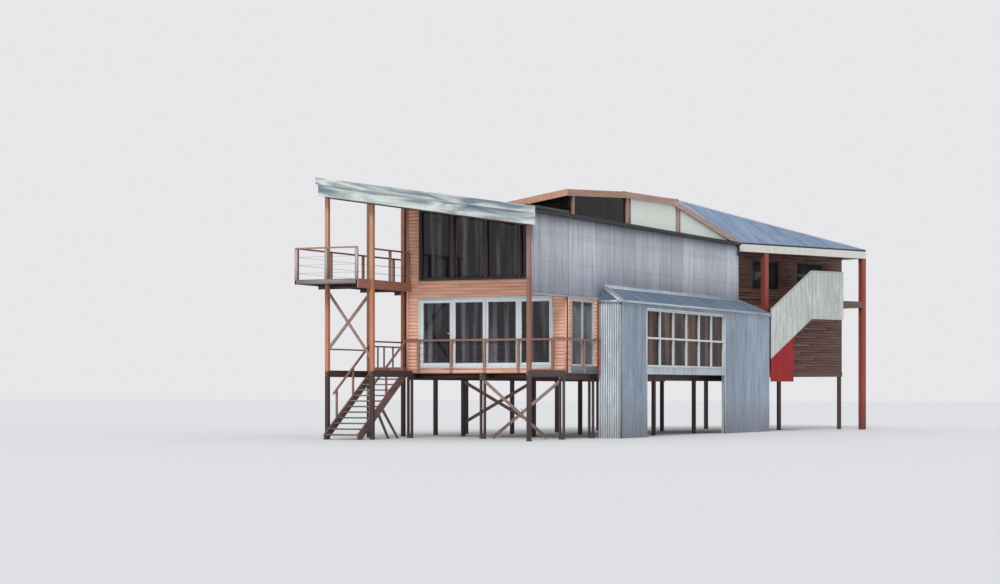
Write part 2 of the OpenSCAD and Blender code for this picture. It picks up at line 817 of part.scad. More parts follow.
// One sheet between two posts, cut off under the raised roof, which may fold between them.
module clerestory_sheet(y0, y1) {
    inner = [for (y = [top_y, fold_y]) if (y > y0 && y < y1) [y, raised_under(house_w, y)]];
    plate_yz(house_w, glass_t, concat([[y0, grey_top + sill_h], [y1, grey_top + sill_h],
        [y1, raised_under(house_w, y1)]], inner, [[y0, raised_under(house_w, y0)]]));
}

// Dark sheets on the side, and one that closes the raised roof's front end.
module clerestory_glass() {
    y = inner_y - glass_t;
    tip_x = valley_x(y, raised_t + slack + joint);
    color("darkslategray") {
        plate_xz(y, glass_t, [[tip_x, roof_top(tip_x) + joint], [right_x, roof_top(right_x) + joint],
            [right_x, raised_under(right_x, y)]]);
        clerestory_sheet(inner_y, clerestory_y[0] - half_post);
        clerestory_sheet(clerestory_y[0] + half_post, clerestory_y[1] - half_post);
    }
}

module clerestory_panels() {
    color("honeydew") {
        clerestory_sheet(clerestory_y[1] + half_post, clerestory_y[2] - half_post);
        clerestory_sheet(clerestory_y[2] + half_post, clerestory_end);
    }
}

module gutter() {
    wall = 5;
    color("dimgray") translate([right_x + gutter_r, porch_y + half_post, grey_top]) rotate([-90, 0, 0])
        difference() {
            cylinder(r = gutter_r, h = house_d - porch_y - half_post, $fn = 32);
            translate([0, 0, -1]) cylinder(r = gutter_r - wall, h = house_d + porch_d, $fn = 32);
            translate([-gutter_r, -2 * gutter_r, -1]) cube([2 * gutter_r, 2 * gutter_r, house_d + porch_d]);
        }
}

module wing_floors() {
    near = [[wing_left, wing_near], [0, 0]];
    floor_x = clad_x - joint;
    color("burlywood") in_wing() {
        translate([0, 0, beam_top]) linear_extrude(floor_t)
            polygon(concat([[-verandah, 0], [-verandah, wing_l], [wing_left, wing_l]], near));
        difference() {
            translate([0, 0, upper_under]) linear_extrude(upper_floor_t)
                polygon([[-verandah, clad_y1], [floor_x, clad_y1], [floor_x, clad_y2], [0, clad_y2],
                    [0, wing_l], [wing_left, wing_l], [wing_left, wing_near],
                    [-verandah, -verandah * tan(wing_turn)]]);
            verandah_post_pair(notch);
        }
    }
}

// The wing's walls stand back from the eave by the verandah, and just inside the fascia elsewhere.
// A short wall across the block's rear end closes it toward the verandah.
module wing_walls() {
    inset = board_t + joint;
    near = function(x) x * tan(wing_turn) + notch;
    outer = [[-verandah, near(-verandah)], [-verandah, wing_l - inset], [wing_left + inset, wing_l - inset],
        [wing_left + inset, near(wing_left + inset)]];
    x0 = wing_left + inset + wall_t;
    x1 = -verandah - wall_t;
    y1 = wing_l - inset - wall_t;
    storeys = [[floor_z, upper_under], [upper_z, wing_eave]];
    color("brown") {
        in_wing() difference() {
            for (span = storeys)
                translate([0, 0, span[0]]) linear_extrude(span[1] - span[0] - joint) difference() {
                    polygon(outer);
                    polygon([[x1, 2 * wing_near], [x1, y1], [x0, y1], [x0, 2 * wing_near]]);
                }
            for (y = wing_window_y)
                block([-verandah - wall_t - 1, y, wing_window_z], [1 - verandah, y + wing_window_w,
                    wing_window_z + wing_window_h]);
        }
        for (span = [storeys[0], [upper_z, wing_eave - wing_roof_t]])
            block([wing_near_wall, house_d - wall_t, span[0]], [right_in_x - joint, house_d - joint,
                span[1] - joint]);
    }
}

module wing_windows() {
    color("dimgray") in_wing() for (y = wing_window_y) {
        bars_yz(y, y + wing_window_w, wing_window_z, wing_window_z + wing_window_h, -verandah - window_d,
            window_d, window_bar, 1, 1);
        block([-verandah - window_d - glass_t, y, wing_window_z],
            [-verandah - window_d, y + wing_window_w, wing_window_z + wing_window_h]);
    }
}

// The posts, or with a margin the notches the upper floor leaves for them.
module verandah_post_pair(margin = 0) {
    for (y = [verandah_post_y, wing_l - verandah_post])
        block([-verandah_post - margin, y - margin, 0],
            [margin, y + verandah_post + margin, wing_eave - wing_fascia_h]);
}

module verandah_posts() {
    color("firebrick") in_wing() verandah_post_pair();
}

module wing_fascia() {
    z0 = wing_eave - wing_fascia_h;
    color("ivory") in_wing() difference() {
        translate([0, 0, z0]) linear_extrude(wing_fascia_h)
            polygon([[0, 0], [0, wing_l], [wing_left, wing_l], [wing_left, wing_near]]);
        block([wing_left + board_t, 2 * wing_near, z0 - 1], [-board_t, wing_l - board_t, wing_eave + 1]);
    }
}

module wing_pyramid() {
    polyhedron([[0, 0, wing_eave], [0, wing_l, wing_eave], [wing_left, wing_l, wing_eave],
        [wing_left, wing_near, wing_eave], [-wing_ridge, 0, wing_eave + wing_rise]],
        [[0, 1, 2, 3], [1, 0, 4], [2, 1, 4], [3, 2, 4], [0, 3, 4]]);
}

// The hipped roof is a shell, open to the rooms under it.
module wing_roof() {
    color("slategray") in_wing() difference() {
        wing_pyramid();
        translate([0, 0, -wing_roof_t]) wing_pyramid();
    }
}

module rear_stair_side() {
    color("gainsboro") in_wing() {
        bar_yz(clad_x, board_t, [clad_y0, clad_z0], [clad_y1, clad_z1], clad_h);
        bar_yz(clad_x, board_t, [clad_y1 + joint, clad_z1], [clad_y2, clad_z1], clad_h);
    }
}

// The flight is one stepped mass between the clad side and the wing's wall.
module rear_stair_flight() {
    y0 = verandah_post_y + verandah_post;
    steps = 14;
    step_y = (clad_y1 - y0) / steps;
    step_z = storey_h / (steps + 1);
    treads = [for (i = [0:steps - 1], p = [[i, i + 1], [i + 1, i + 1]])
        [y0 + p[0] * step_y, floor_z + p[1] * step_z]];
    // The red side panel hangs under the clad side's lower end.
    panel_y = 2600;
    panel_low = beam_top - 200;
    clad_low = function(y) clad_z0 + (clad_z1 - clad_z0) * (y - clad_y0) / (clad_y1 - clad_y0) - joint;
    color("firebrick") in_wing() {
        plate_yz(-verandah + joint, verandah + clad_x - joint,
            concat(treads, [[clad_y1, upper_under], [y0 + step_y, floor_z], [y0, floor_z]]));
        plate_yz(clad_x + joint, board_t - joint, [[clad_y0, panel_low], [panel_y, panel_low],
            [panel_y, clad_low(panel_y)], [clad_y0, clad_low(clad_y0)]]);
    }
}

module upper_deck() {
    color("tan") difference() {
        union() {
            block([deck_x0, deck_y0, deck_z - deck_t], [deck_x1, front_y, deck_z]);
            block([deck_x0, front_y, deck_z - deck_t], [left_x, gallery_y1, deck_z]);
        }
        for (i = [0:gallery_bays]) square_post(-gallery_w, i * gallery_bay, 0, roof_z);
        for (x = porch_posts_x) square_post(x, porch_y, 0, roof_z);
    }
}

module deck_rims() {
    color("sienna") {
        block([deck_x1, porch_y + half_post, deck_z - deck_beam_h], [deck_x1 + 45, front_y, deck_z]);
        block([deck_x1, deck_y0, deck_z - deck_beam_h], [deck_x1 + 45, porch_y - half_post, deck_z]);
    }
}

// A straight railing: posts at both ends and between, and a rail on top.
module railing_x(x0, x1, y, z, spaces) {
    for (i = [0:spaces])
        translate([x0 + i * (x1 - x0 - rail_post) / spaces, y, z]) cube([rail_post, rail_post, rail_h]);
    block([x0, y, z + rail_h], [x1, y + rail_post, z + rail_h + rail_t]);
}

module railing_y(x, y0, y1, z, spaces) {
    translate([x + rail_post, 0, 0]) rotate([0, 0, 90]) railing_x(y0, y1, 0, z, spaces);
}

module deck_railings() {
    color("rosybrown") {
        railing_x(deck_x0, deck_x1, deck_y0, deck_z, 2);
        railing_y(deck_x0, deck_y0 + rail_post + joint, gallery_y1, deck_z, 5);
        railing_y(deck_x1 - rail_post, porch_y + half_post, front_y - joint, deck_z, 2);
    }
}

// The landing, its rails and balusters, and a side rail forward to the porch post.
module entry_landing() {
    mid_rail = 690;
    side_rail = 560;
    baluster = 40;
    color("tan") {
        block([half_post - gallery_w, front_y, floor_z - deck_t],
            [left_x, gallery_bay + half_post, floor_z]);
        for (z = [mid_rail, lower_rail_h + rail_t])
            block([-gallery_w - rail_t / 2, half_post, floor_z + z - rail_t],
                [-gallery_w + rail_t / 2, gallery_bay - half_post, floor_z + z]);
        for (y = [half_post + baluster, gallery_bay * 0.24, gallery_bay * 0.42, gallery_bay * 0.68,
            gallery_bay - half_post - 2 * baluster])
            block([-gallery_w - baluster / 2, y, floor_z - deck_t],
                [-gallery_w + baluster / 2, y + baluster, floor_z + mid_rail - rail_t]);
        block([-gallery_w - rail_t / 2, porch_y + half_post, floor_z + side_rail - rail_t],
            [-gallery_w + rail_t / 2, -half_post, floor_z + side_rail]);
    }
}

module stair_strings() {
    color("sienna") for (x = [stair_x0 - string_t, stair_x1])
        difference() {
            union() {
                bar_yz(x, string_t, [front_y - stair_run, rise - string_h],
                    [front_y, floor_z - string_h], string_h);
                if (x == stair_x1) for (p = stair_props) plate_yz(x, string_t,
                    [[p[0], string_under(p[0])], [p[1], 0], [p[1] + prop_w, 0],
                        [p[0] + prop_w, string_under(p[0] + prop_w)]]);
            }
            block([x - 1, -2 * stair_run, -string_h - rise], [x + string_t + 1, 0, 0]);
        }
}

module stair_treads() {
    color("burlywood") for (i = [1:risers - 1])
        block([stair_x0, front_y - i * going, floor_z - i * rise - tread_t],
            [stair_x1, front_y - (i - 1) * going - 10, floor_z - i * rise]);
}

// The handrails run down as far as the porch posts.
module stair_handrails() {
    baluster = 60;
    baluster_steps = [1, 5, 9];
    y1 = porch_y + half_post;
    lift = baluster / 2 * rise / going;
    color("rosybrown") for (x = [stair_x0 - string_t, stair_x1]) {
        bar_yz(x, string_t, [y1, floor_z + lower_rail_h + (y1 - front_y) * rise / going],
            [front_y, floor_z + lower_rail_h], hand_h);
        for (i = baluster_steps) {
            y = front_y - i * going;
            z = floor_z - i * rise + slack;
            bar_yz(x, string_t, [y - baluster / 2, z - lift], [y + baluster / 2, z + lift],
                lower_rail_h + hand_h / 2);
        }
    }
}

porch_front_posts();
gallery_posts();
porch_roof_beam();
porch_cross_brace();
front_stilts();
rear_stilts();
floor_beams();
stilt_braces();
lower_floor();
front_corner_panel();
front_band();
front_right_panel();
door_frame();
middle_door_leaves();
middle_door_glass();
left_door_leaf();
left_door_glass();
right_door_leaf();
right_door_glass();
side_wall();
side_window();
left_wall_lower();
left_wall_upper();
left_glazing();
lower_railing();
bay_near_leg();
bay_far_leg();
bay_beams();
bay_window_frame();
bay_window_glass();
bay_floor();
bay_roof();
upper_floor();
grey_wall();
upper_window_frame();
upper_window_glass();
porch_roof();
front_fascia();
main_roof();
raised_roof();
clerestory_frame();
clerestory_boards();
clerestory_glass();
clerestory_panels();
gutter();
wing_floors();
wing_walls();
wing_windows();
verandah_posts();
wing_fascia();
wing_roof();
rear_stair_side();
rear_stair_flight();
upper_deck();
deck_rims();
deck_railings();
entry_landing();
stair_strings();
stair_treads();
stair_handrails();
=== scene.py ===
"""Dresses the stilt house: lapped boards, ribbed metal, decking, glazing, fittings and their finishes.

Metres, in the part's own frame: +X along the front to the right, +Y to the back, +Z up.
"""

import math

import bpy
import numpy as np
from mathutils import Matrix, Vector


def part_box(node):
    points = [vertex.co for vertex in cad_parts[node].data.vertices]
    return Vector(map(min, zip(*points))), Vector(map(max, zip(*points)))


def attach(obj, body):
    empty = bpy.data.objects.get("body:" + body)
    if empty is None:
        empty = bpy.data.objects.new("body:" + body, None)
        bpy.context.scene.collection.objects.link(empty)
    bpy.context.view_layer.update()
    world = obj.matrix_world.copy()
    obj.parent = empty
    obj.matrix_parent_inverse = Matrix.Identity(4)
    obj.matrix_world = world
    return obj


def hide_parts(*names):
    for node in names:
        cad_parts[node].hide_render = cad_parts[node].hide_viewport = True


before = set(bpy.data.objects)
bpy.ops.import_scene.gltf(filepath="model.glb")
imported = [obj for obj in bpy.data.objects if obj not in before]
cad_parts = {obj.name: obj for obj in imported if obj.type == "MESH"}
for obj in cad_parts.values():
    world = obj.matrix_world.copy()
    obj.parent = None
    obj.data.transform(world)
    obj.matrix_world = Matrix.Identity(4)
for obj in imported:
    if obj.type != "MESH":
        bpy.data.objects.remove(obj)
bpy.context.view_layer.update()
rng = np.random.default_rng(11)
X, Y, Z = np.eye(3)

# Main places of the house, read from its solids, and after them sizes that the solids were built to.
LEFT, FRONT, BEAM_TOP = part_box("lower_floor")[0]
RIGHT, BACK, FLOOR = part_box("lower_floor")[1]
GREY_Y0, GREY_LOW, GREY_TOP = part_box("grey_wall")[0].y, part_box("grey_wall")[0].z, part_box("grey_wall")[1].z
GREY_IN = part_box("grey_wall")[0].x
DOOR_LOW, DOOR_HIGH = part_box("door_frame")
WINDOW_LOW, WINDOW_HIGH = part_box("upper_window_frame")
SIDE_LOW, SIDE_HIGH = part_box("side_window")
BAY_LOW, BAY_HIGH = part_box("bay_near_leg")
BAY_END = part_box("bay_far_leg")[1].y
BAND_LOW, BAND_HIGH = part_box("bay_window_frame")
DECK_LOW, DECK_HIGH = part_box("upper_deck")
ROOF_X0, ROOF_Y0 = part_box("porch_roof")[0].x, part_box("porch_roof")[0].y
ROOF_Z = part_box("porch_roof")[1].z
ROOF_SLOPE, ROOF_DEEP = math.tan(math.radians(8.7)), 0.38
EDGE = np.array([(-0.1, 7.44), (4.395, 7.71), (8.515, 7.79), (14.825, 6.79)])
RAISED_SLOPE, RAISED_DEEP = math.tan(math.radians(9.3)), 0.11
TURN = math.radians(22.3)
WING_LONG, WING_LEFT, WING_EAVE, WING_RISE, WING_RIDGE = 7.13, -4.996, 6.75, 1.72, 3.14
VERANDAH = 1.15
UPPER = 4.8
LEFT_ROWS = [share * BACK for share in (0.05, 0.34, 0.64)]
LEFT_DOOR = (LEFT_ROWS[0], LEFT_ROWS[0] + 0.95, FLOOR, DOOR_HIGH.z)
LEFT_WINDOWS = [(y, y + 2.4, FLOOR + 0.9, DOOR_HIGH.z) for y in LEFT_ROWS[1:]]
LEFT_WINDOWS += [(y, y + 2.4, UPPER + 0.9, UPPER + 2.0) for y in LEFT_ROWS]
LEFT_HOLES = [LEFT_DOOR, *LEFT_WINDOWS]
WING_WINDOWS = [(share * WING_LONG, share * WING_LONG + 1.5, 5.15, 6.25) for share in (0.28, 0.63)]
POST, PORCH_Y, GALLERY_X, GALLERY_BAY = 0.0575, -2.575, -1.44, 2.24

# Stock sizes: lapped boards, joists, flashing, sheets and their waves, and how finely the sheets are cut.
EXPOSURE, BOARD_LONG, BOARD_THICK, BOARD_THIN = 0.105, 3.3, 0.022, 0.009
JOIST, FLASHING = 0.045, 0.004
SHEET_WIDE, SHEET_BACK, RIB, PITCH, WAVE_DEEP = 1.04, -0.004, 0.13, 0.076, 0.018
FINE_STEP, WALL_STEP, ROOF_STEP = 0.004, 0.0095, 0.0127
FINISHES = {}


def roof_line(x):
    """Height of the porch roof's top: it falls evenly from the left edge."""
    return ROOF_Z - ROOF_SLOPE * (x - ROOF_X0)


def under_roof(x):
    return roof_line(x) - ROOF_DEEP


def raised_line(x, y):
    """Height of the raised roof's top: it falls evenly to the left from its folded right edge."""
    return np.interp(y, EDGE[:, 0], EDGE[:, 1]) - RAISED_SLOPE * (RIGHT - x)


def valley(y):
    """The point where the raised roof comes down to the main roof: both tops have one height there."""
    x = RIGHT - (raised_line(RIGHT, y) - roof_line(RIGHT)) / (ROOF_SLOPE + RAISED_SLOPE)
    return np.array([x, y, roof_line(x)])


def unit(v):
    return np.asarray(v, float) / np.linalg.norm(v)


def in_wing(points):
    """Points given in the wing's own frame, y along its eave and x outward, turned into the part's frame."""
    p = np.asarray(points, float)
    c, s = math.cos(TURN), math.sin(TURN)
    return np.stack([RIGHT + c * p[..., 0] + s * p[..., 1], BACK - s * p[..., 0] + c * p[..., 1], p[..., 2]], -1)


def turned(shape):
    """A shape made in the wing's own frame, turned into the part's frame."""
    return (in_wing(shape[0]), *shape[1:])


# Shapes: a shape is (points, corners, corners per face, texture place per corner, tone per point).

def join(shapes):
    """Shapes put one after another as one shape."""
    offset, corners = 0, []
    for shape in shapes:
        corners.append(shape[1] + offset)
        offset += len(shape[0])
    picked = [np.concatenate([s[k] for s in shapes]) for k in (0, 2, 3, 4)]
    return picked[0], np.concatenate(corners), picked[1], picked[2], picked[3]


def prisms(starts, ends, tones=None):
    """Straight bars, (bars, outline points, 3): each outline point runs straight from start to end, and the
    outline closes both ends. The texture runs in metres along the bar and round its outline."""
    starts, ends = np.array(starts, float), np.array(ends, float)
    m, n = starts.shape[:2]
    ahead = ends.mean(1) - starts.mean(1)
    area = np.cross(starts, np.roll(starts, -1, 1)).sum(1)
    flip = (area * ahead).sum(1) < 0
    starts[flip], ends[flip] = starts[flip][:, ::-1], ends[flip][:, ::-1]
    first = (np.arange(m) * 2 * n)[:, None, None]
    i = np.arange(n)
    j = (i + 1) % n
    sides = first + np.stack([i, j, j + n, i + n], 1)[None]
    caps = first + np.stack([i[::-1], i + n])[None]
    edge = np.linalg.norm(np.roll(starts, -1, 1) - starts, axis=2)
    around = np.concatenate([np.zeros((m, 1)), np.cumsum(edge, 1)], 1) + rng.random((m, 1)) * 7
    begin = rng.random((m, 1)) * 7 + np.zeros((m, n))
    finish = begin + np.linalg.norm(ahead, axis=1)[:, None]
    side_places = np.stack([np.stack([begin, begin, finish, finish], 2),
                            np.stack([around[:, :-1], around[:, 1:], around[:, 1:], around[:, :-1]], 2)], 3)
    cap_places = np.stack([np.stack([begin, finish], 1),
                           np.stack([around[:, :-1][:, ::-1], around[:, :-1]], 1)], 3)
    tones = rng.random(m) if tones is None else np.broadcast_to(tones, m)
    return (np.concatenate([starts, ends], 1).reshape(-1, 3),
            np.concatenate([sides.ravel(), caps.ravel()]),
            np.concatenate([np.full(m * n, 4), np.full(2 * m, n)]),
            np.concatenate([side_places.reshape(-1, 2), cap_places.reshape(-1, 2)]),
            np.repeat(tones, 2 * n))


def bars(rows):
    """Square-edged bars: each row is a start corner, an end corner and the outline's two edge vectors."""
    start, end, a, b = np.moveaxis(np.array(rows, float), 1, 0)
    return prisms(np.stack([start, start + a, start + a + b, start + b], 1),
                  np.stack([end, end + a, end + a + b, end + b], 1))


def blocks(corners):
    """Upright blocks between two corners, with the grain along the longest side."""
    corners = np.array(corners, float)
    low, size = corners.min(1), np.abs(corners[:, 1] - corners[:, 0])
    rows = []
    for corner, extent in zip(low, size):
        long = int(np.argmax(extent))
        a, b = [axis for axis in range(3) if axis != long]
        span = np.diag(extent)
        rows.append((corner, corner + span[long], span[a], span[b]))
    return bars(rows)


def rods(starts, ends, radius, sides):
    """Round rods: points on a circle across the line from start to end, carried along it."""
    starts, ends = np.atleast_2d(np.array(starts, float)), np.atleast_2d(np.array(ends, float))
    ahead = ends - starts
    ahead /= np.linalg.norm(ahead, axis=1, keepdims=True)
    side = np.cross(ahead, np.where(np.abs(ahead[:, 2:]) > 0.9, X, Z))
    side /= np.linalg.norm(side, axis=1, keepdims=True)
    other = np.cross(ahead, side)
    angle = np.arange(sides) * 2 * math.pi / sides
    ring = radius * (np.cos(angle)[None, :, None] * side[:, None] + np.sin(angle)[None, :, None] * other[:, None])
    return prisms(starts[:, None] + ring, ends[:, None] + ring)


def rims(rectangles, fixed, depth, bar, plane):
    """Frames of four bars round rectangles (a0, a1, z0, z1). plane 'xz' stands at y = fixed and 'yz' at x = fixed."""
    corners = []
    for a0, a1, z0, z1 in rectangles:
        for low, high in (((a0, z0), (a0 + bar, z1)), ((a1 - bar, z0), (a1, z1)),
                          ((a0 + bar, z0), (a1 - bar, z0 + bar)), ((a0 + bar, z1 - bar), (a1 - bar, z1))):
            if plane == "xz":
                corners.append(((low[0], fixed, low[1]), (high[0], fixed + depth, high[1])))
            else:
                corners.append(((fixed, low[0], low[1]), (fixed + depth, high[0], high[1])))
    return blocks(corners)


def wave(s):
    """Round waves: half a depth up and down about the middle, once in each pitch."""
    return WAVE_DEEP * (0.5 - 0.5 * np.cos(2 * math.pi * s / PITCH))


def fine_ribbed(s):
    """Flat sheet with a narrow rib every RIB and a taller lap rib at every sheet's edge."""
    small = np.clip(1.6 - np.abs((s + RIB / 2) % RIB - RIB / 2) / 0.008, 0, 1) * 0.007
    lap = np.clip(1.8 - np.abs((s + SHEET_WIDE / 2) % SHEET_WIDE - SHEET_WIDE / 2) / 0.016, 0, 1) * 0.016
    return 0.003 + np.maximum(small, lap)


def sheet(origin, across, along, outline, rise=wave, step=WALL_STEP):
    """A ribbed sheet on a flat place. At s across the ribs it runs along them from the outline's lower edge to its
    upper edge and stands rise(s) proud. A flat back and closed rims make it solid; tone changes with each sheet."""
    across, along, outline = unit(across), unit(along), np.array(outline, float)
    out = np.cross(across, along)
    s = np.unique(np.concatenate([np.arange(outline[:, 0].min(), outline[:, 0].max(), step), outline[:, 0]]))
    low, high = np.full(len(s), np.inf), np.full(len(s), -np.inf)
    for p, q in zip(outline, np.roll(outline, -1, 0)):
        if abs(p[0] - q[0]) > 1e-9:
            t = p[1] + (q[1] - p[1]) * (s - p[0]) / (q[0] - p[0])
            inside = (s > min(p[0], q[0]) - 1e-9) & (s < max(p[0], q[0]) + 1e-9)
            low, high = np.where(inside, np.minimum(low, t), low), np.where(inside, np.maximum(high, t), high)
    kept = high - low > 0.003
    s, low, high = s[kept], low[kept], high[kept]
    h = rise(s)
    rows = [s[:, None] * across + t[:, None] * along + np.broadcast_to(d, s.shape)[:, None] * out
            for t, d in ((low, h), (high, h), (low, SHEET_BACK), (high, SHEET_BACK))]
    points = np.asarray(origin, float) + np.stack(rows, 1)
    k = np.arange(len(s) - 1)[:, None, None] * 4
    faces = np.array([(0, 4, 5, 1), (2, 3, 7, 6), (2, 6, 4, 0), (1, 5, 7, 3)])
    last = (len(s) - 1) * 4
    corners = np.concatenate([(k + faces).ravel(), [2, 0, 1, 3], last + np.array([2, 3, 1, 0])])
    place = np.stack([np.stack([low, high, low, high], 1), np.repeat(s[:, None], 4, 1)], 2).reshape(-1, 2)
    tone = np.random.default_rng(5).random(200)[np.floor(s / SHEET_WIDE).astype(int) % 200]
    return (points.reshape(-1, 3), corners, np.full(len(corners) // 4, 4), place[corners], np.repeat(tone, 4))


def slope_sheet(corners, foot=(0, 1), step=ROOF_STEP):
    """A waved sheet on a flat roof face given by its corners: the waves run up the slope, across the edge foot."""
    corners = np.array(corners, float)
    p, q = corners[foot[0]], corners[foot[1]]
    across = unit(q - p)
    normal = unit(sum(np.cross(a - p, b - p) for a, b in zip(corners, np.roll(corners, -1, 0))))
    if normal[2] < 0:
        normal = -normal
    along = np.cross(normal, across)
    if along[2] < 0:
        across, along = -across, -along
        p, q = q, p
    outline = np.stack([(corners - p) @ across, (corners - p) @ along], 1)
    return sheet(p, across, along, outline, wave, step)


def board_runs(u0, u1, z0, z1, holes=(), top=None):
    """Rows of board from z0 up, each split between holes (u0, u1, z0, z1), under the folded line top, and into
    boards of about one length with joints that shift from row to row."""
    def limit(u):
        return z1 if top is None else float(np.interp(u, *np.transpose(top)))

    found = []
    for row in range(math.ceil((z1 - z0) / EXPOSURE - 1e-6)):
        low, high = z0 + row * EXPOSURE, min(z0 + (row + 1) * EXPOSURE, z1)
        cuts = {u0, u1} | {h[k] for h in holes for k in (0, 1)}
        if top is not None:
            cuts |= {p[0] for p in top}
            for p, q in zip(top, top[1:]):
                for level in (low, high):
                    if (p[1] - level) * (q[1] - level) < 0:
                        cuts.add(p[0] + (level - p[1]) / (q[1] - p[1]) * (q[0] - p[0]))
        cuts = sorted(c for c in cuts if u0 <= c <= u1)
        shift, runs = (row * 0.618 % 1) * BOARD_LONG, []
        for a, b in zip(cuts, cuts[1:]):
            bottom, ceiling = low, high
            for h in holes:
                if h[0] < (a + b) / 2 < h[1]:
                    if h[2] <= bottom + 1e-6:
                        bottom = max(bottom, min(h[3], ceiling))
                    elif h[2] < ceiling and h[3] >= ceiling - 1e-6:
                        ceiling = max(h[2], bottom)
            ends = [min(ceiling, limit(a)), min(ceiling, limit(b))]
            if b - a < 0.003 or max(ends) - bottom < 0.004:
                continue
            flat = runs and runs[-1][2:] == [bottom, ceiling, ceiling] and ends == [ceiling, ceiling]
            if flat and abs(runs[-1][1] - a) < 1e-6:
                runs[-1][1] = b
            else:
                runs.append([a, b, bottom, *ends])
        for a, b, bottom, left, right in runs:
            marks = [c for c in np.arange(u0 - shift, u1 + BOARD_LONG, BOARD_LONG) if a + 0.4 < c < b - 0.4]
            stops = [a, *marks, b]
            for c, d in zip(stops, stops[1:]):
                heights = np.interp([c, d], [a, b], [left, right])
                found.append((c + 0.001 * (c != a), d - 0.001 * (d != b), bottom, *heights, low))
    return np.array(found)


def lap_boards(origin, along, outward, runs):
    """Lapped boards on an upright wall: each is thick at its lower edge and thins evenly to its upper edge."""
    along, outward = np.asarray(along, float), np.asarray(outward, float)

    def outline(u, bottom, head, low):
        def depth(z):
            return BOARD_THICK - (BOARD_THICK - BOARD_THIN) * (z - low) / EXPOSURE
        flat = np.full(len(u), -0.003)
        pairs = ((flat, bottom), (depth(bottom), bottom), (depth(head), head), (flat, head))
        return np.stack([np.asarray(origin, float) + u[:, None] * along + d[:, None] * outward + z[:, None] * Z
                         for d, z in pairs], 1)

    a, b, bottom, left, right, low = runs.T
    return prisms(outline(a, bottom, np.maximum(left, bottom + 0.001), low),
                  outline(b, bottom, np.maximum(right, bottom + 0.001), low))


def linked(name, data):
    made = bpy.data.objects.new(name, data)
    bpy.context.scene.collection.objects.link(made)
    return made


def piece(name, shapes, finish, body="house", smooth=0.0):
    """One finished piece: its mesh from arrays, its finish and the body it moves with."""
    points, corners, sizes, places, tones = join(shapes) if isinstance(shapes, list) else shapes
    mesh = bpy.data.meshes.new(name)
    mesh.vertices.add(len(points))
    mesh.vertices.foreach_set("co", points.astype(np.float32).ravel())
    mesh.loops.add(len(corners))
    mesh.loops.foreach_set("vertex_index", corners.astype(np.int32))
    mesh.polygons.add(len(sizes))
    mesh.polygons.foreach_set("loop_start", (np.cumsum(sizes) - sizes).astype(np.int32))
    mesh.update(calc_edges=True)
    layer = mesh.uv_layers.new(name="grain")
    layer.data.foreach_set("uv", places.astype(np.float32).ravel())
    tone = mesh.attributes.new("tone", "FLOAT", "POINT")
    tone.data.foreach_set("value", tones.astype(np.float32))
    if smooth:
        mesh.shade_smooth()
        mesh.set_sharp_from_angle(angle=math.radians(smooth))
    mesh.materials.append(FINISHES[finish])
    made = linked(name, mesh)
    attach(made, body)
    return made


# Finishes.

def put(tree, kind, values=(), **settings):
    """A shader node with its settings, and its inputs set to values or joined to other nodes' outputs."""
    made = tree.nodes.new("ShaderNode" + kind)
    for key, value in settings.items():
        setattr(made, key, value)
    for key, value in dict(values).items():
        if isinstance(value, bpy.types.NodeSocket):
            tree.links.new(value, made.inputs[key])
        else:
            made.inputs[key].default_value = value
    return made


def blend(tree, share, a, b, how="MIX"):
    """Colours a and b mixed by share."""
    a, b = [(*c, 1) if isinstance(c, tuple) and len(c) == 3 else c for c in (a, b)]
    return put(tree, "Mix", {0: share, 6: a, 7: b}, data_type="RGBA", blend_type=how).outputs[2]


def maths(tree, how, a, b=0.0, c=0.0):
    return put(tree, "Math", {0: a, 1: b, 2: c}, operation=how).outputs[0]


def times(tree, a, b):
    return maths(tree, "MULTIPLY", a, b)


def stretched_noise(tree, place, scale, detail=3.0, twist=0.0):
    """Noise on a place stretched by a different scale on each axis."""
    moved = put(tree, "VectorMath", {0: place, 1: scale}, operation="MULTIPLY").outputs[0]
    return put(tree, "TexNoise", {"Vector": moved, "Scale": 1.0, "Detail": detail, "Distortion": twist}).outputs[0]


def spread(tree, value, low, high, to_low=0.0, to_high=1.0):
    return put(tree, "MapRange", {0: value, 1: low, 2: high, 3: to_low, 4: to_high}).outputs[0]


def effect(name, inputs, outputs):
    """An empty group of shader nodes with named inputs and outputs."""
    tree = bpy.data.node_groups.new(name, "ShaderNodeTree")
    for label, kind, default in inputs:
        made = tree.interface.new_socket(name=label, in_out="INPUT", socket_type="NodeSocket" + kind)
        if default is not None:
            made.default_value = default
    for label, kind in outputs:
        tree.interface.new_socket(name=label, in_out="OUTPUT", socket_type="NodeSocket" + kind)
    return tree, tree.nodes.new("NodeGroupInput").outputs, tree.nodes.new("NodeGroupOutput").inputs


